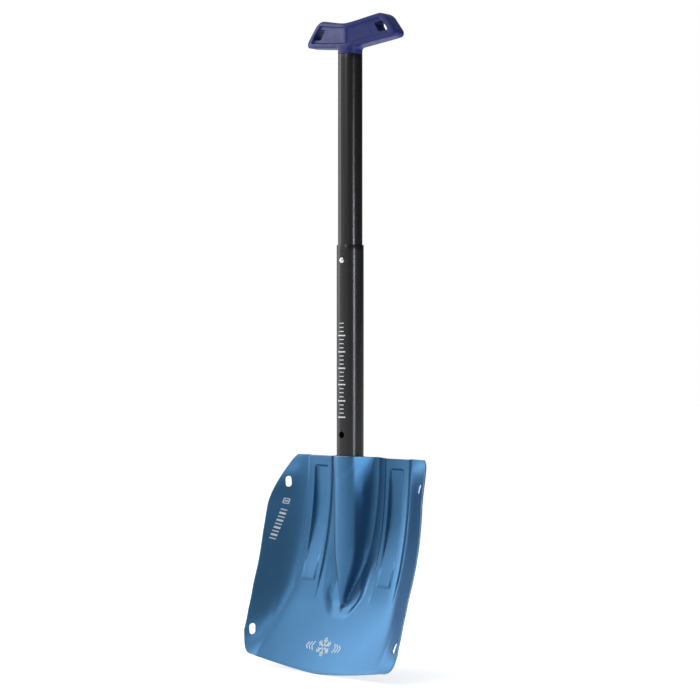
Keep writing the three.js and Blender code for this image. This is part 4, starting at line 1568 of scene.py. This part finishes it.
# ---------------------------------------------------------------- studio
@dataclass
class Studio:
    """White sweep, soft lights and the camera."""

    seat: Seat
    azimuth: float = 41.5
    distance: float = 2257.0
    eye: float = 388.0
    lens: float = 95.14
    shift: float = -0.0003
    sensor: float = 36.0
    target: tuple[float, float, float] = (0.0, 0.0, 0.35)
    bright_side: tuple[float, float, float] = (-0.88, -0.32, 0.35)
    air: tuple[float, float] = (0.02, 0.78)

    def camera(self) -> bpy.types.Object:
        """Places the camera, level, looking at the shaft's axis."""
        turn = math.radians(self.azimuth)
        data = bpy.data.cameras.new("studio_camera")
        data.lens, data.sensor_width = self.lens, self.sensor
        data.shift_x = self.shift
        data.clip_end = 30
        obj = link("studio_camera", data)
        obj.location = ((self.distance * math.sin(turn)) * MM,
                        (self.seat.axis_y - self.distance * math.cos(turn)) * MM, self.eye * MM)
        obj.rotation_euler = (math.pi / 2, 0, turn)
        bpy.context.scene.camera = obj
        return obj

    def sweep(self, material: bpy.types.Material) -> bpy.types.Object:
        """Builds a wide round floor."""
        radii, around = (0.8, 3.0, 12.0), 72
        points, faces = [(0.0, 0.0, 0.0)], []
        for radius in radii:
            for i in range(around):
                turn = 2 * math.pi * i / around
                points.append((radius * math.cos(turn), radius * math.sin(turn), 0.0))
        for i in range(around):
            faces.append((0, 1 + i, 1 + (i + 1) % around))
        for r in range(len(radii) - 1):
            for i in range(around):
                a, b = 1 + r * around + i, 1 + r * around + (i + 1) % around
                faces.append((a, a + around, b + around, b))
        mesh = bpy.data.meshes.new("studio_sweep")
        mesh.from_pydata(points, [], faces)
        mesh.materials.append(material)
        obj = link("studio_sweep", mesh)
        mesh.shade_smooth()
        return obj

    def lamp(self, name: str, azimuth: float, elevation: float, distance: float,
             size: tuple[float, float], power: float, tint: str) -> bpy.types.Object:
        """Adds one softbox aimed at the shovel.

        Args:
            name: the lamp's name.
            azimuth: degrees from the front, towards +X.
            elevation: degrees above the floor.
            distance: metres from the target.
            size: width and height of the box, in metres.
            power: watts.
            tint: sRGB hex colour.

        Returns:
            The lamp.
        """
        data = bpy.data.lights.new(name, "AREA")
        data.shape, data.size, data.size_y = "RECTANGLE", size[0], size[1]
        data.energy, data.color = power, linear(tint)[:3]
        obj = link(name, data)
        turn, lift = math.radians(azimuth), math.radians(elevation)
        target = Vector(self.target)
        spot = target + distance * Vector((math.cos(lift) * math.sin(turn),
                                           -math.cos(lift) * math.cos(turn), math.sin(lift)))
        obj.location = spot
        obj.rotation_euler = (target - spot).to_track_quat("-Z", "Y").to_euler()
        return obj

    def light(self) -> None:
        """Sets the lamps and the surroundings: white to the eye, brighter to the upper left."""
        world = bpy.data.worlds.new("studio_air")
        world.use_nodes = True
        tree = world.node_tree
        tree.nodes.clear()
        way = add_node(tree, "ShaderNodeTexCoord")
        facing = add_node(tree, "ShaderNodeVectorMath", {"operation": "DOT_PRODUCT"}, {
            0: way.outputs["Generated"], 1: self.bright_side})
        glow = add_node(tree, "ShaderNodeMapRange", {"interpolation_type": "SMOOTHSTEP"}, {
            0: facing.outputs["Value"], 1: -0.7, 2: 0.98, 3: self.air[0], 4: self.air[1]})
        soft = add_node(tree, "ShaderNodeBackground", None, {
            "Color": linear(WHITE), "Strength": glow.outputs[0]})
        seen = add_node(tree, "ShaderNodeBackground", None, {
            "Color": linear(WHITE), "Strength": 1.0})
        ray = add_node(tree, "ShaderNodeLightPath")
        both = add_node(tree, "ShaderNodeMixShader", None, {
            0: ray.outputs["Is Camera Ray"], 1: soft.outputs[0], 2: seen.outputs[0]})
        add_node(tree, "ShaderNodeOutputWorld", None, {"Surface": both.outputs[0]})
        bpy.context.scene.world = world
        bpy.context.scene.view_settings.view_transform = "Standard"
        for row in (("key_left", -64, 20, 2.2, (0.7, 1.9), 20, "fffdfa"),
                    ("overhead", -40, 74, 2.2, (1.5, 1.5), 5, WHITE),
                    ("front_high", -10, 30, 2.2, (0.5, 0.8), 5, WHITE),
                    ("strip_right", 95, 3, 1.9, (0.12, 0.7), 12, "f6faff")):
            self.lamp(*row)

    def build(self, finishes: FinishSet) -> None:
        """Builds the whole studio.

        Args:
            finishes: the shovel's finishes.
        """
        self.camera()
        self.sweep(finishes.get("matt_white_paint"))
        self.light()


# ---------------------------------------------------------------- whole shovel
@dataclass
class AvalancheShovel:
    """The shovel's sub-assemblies, in the order in which they are built."""

    seat: Seat
    finishes: FinishSet

    def build(self) -> None:
        """Builds every piece of the shovel."""
        seat, finishes = self.seat, self.finishes
        blade = Blade(seat)
        blade.build(finishes)
        SocketBack(blade).build(finishes)
        ShaftTube(seat, "lower_tube", Body.LOWER_SHAFT, 15.0, 16.0, 168.0, 516.0, (
            LockHole(497.0, -1), LockHole(285.0, -1), LockHole(208.0, 1))).build(finishes)
        ShaftTube(seat, "upper_tube", Body.UPPER_SHAFT, 13.5, 14.5, 441.0, 748.0, (
            LockHole(497.0, -1), LockHole(734.0, 1, 2.7))).build(finishes)
        TurnedPiece(seat, "extension_button", Body.EXTENSION_BUTTON, 497.0,
                    TurnedPiece.button_profile(11.29, 17.2), -1).build(finishes)
        TurnedPiece(seat, "blade_button", Body.BLADE_BUTTON, 208.0,
                    TurnedPiece.button_profile(12.92, 19.5), 1).build(finishes)
        TurnedPiece(seat, "grip_rivet", Body.UPPER_SHAFT, 734.0, (
            (2.4, 3.0), (2.4, 14.8), (4.2, 14.8), (4.15, 15.05), (3.78, 15.46), (3.1, 15.7),
            (2.31, 15.82), (1.2, 15.89), (0.3, 15.9))).build(finishes)
        PrintedMarks(blade).build(finishes)
        HiddenHardware().build(finishes)
        Grip(seat).build(finishes)


def main() -> None:
    """Builds the shovel and its studio."""
    logging.basicConfig(level=logging.INFO, format="%(name)s: %(message)s")
    seat = Seat.from_frame(tube_bottom=168.0)
    finishes = FinishSet()
    AvalancheShovel(seat, finishes).build()
    Studio(seat).build(finishes)


if __name__ == "__main__":
    main()
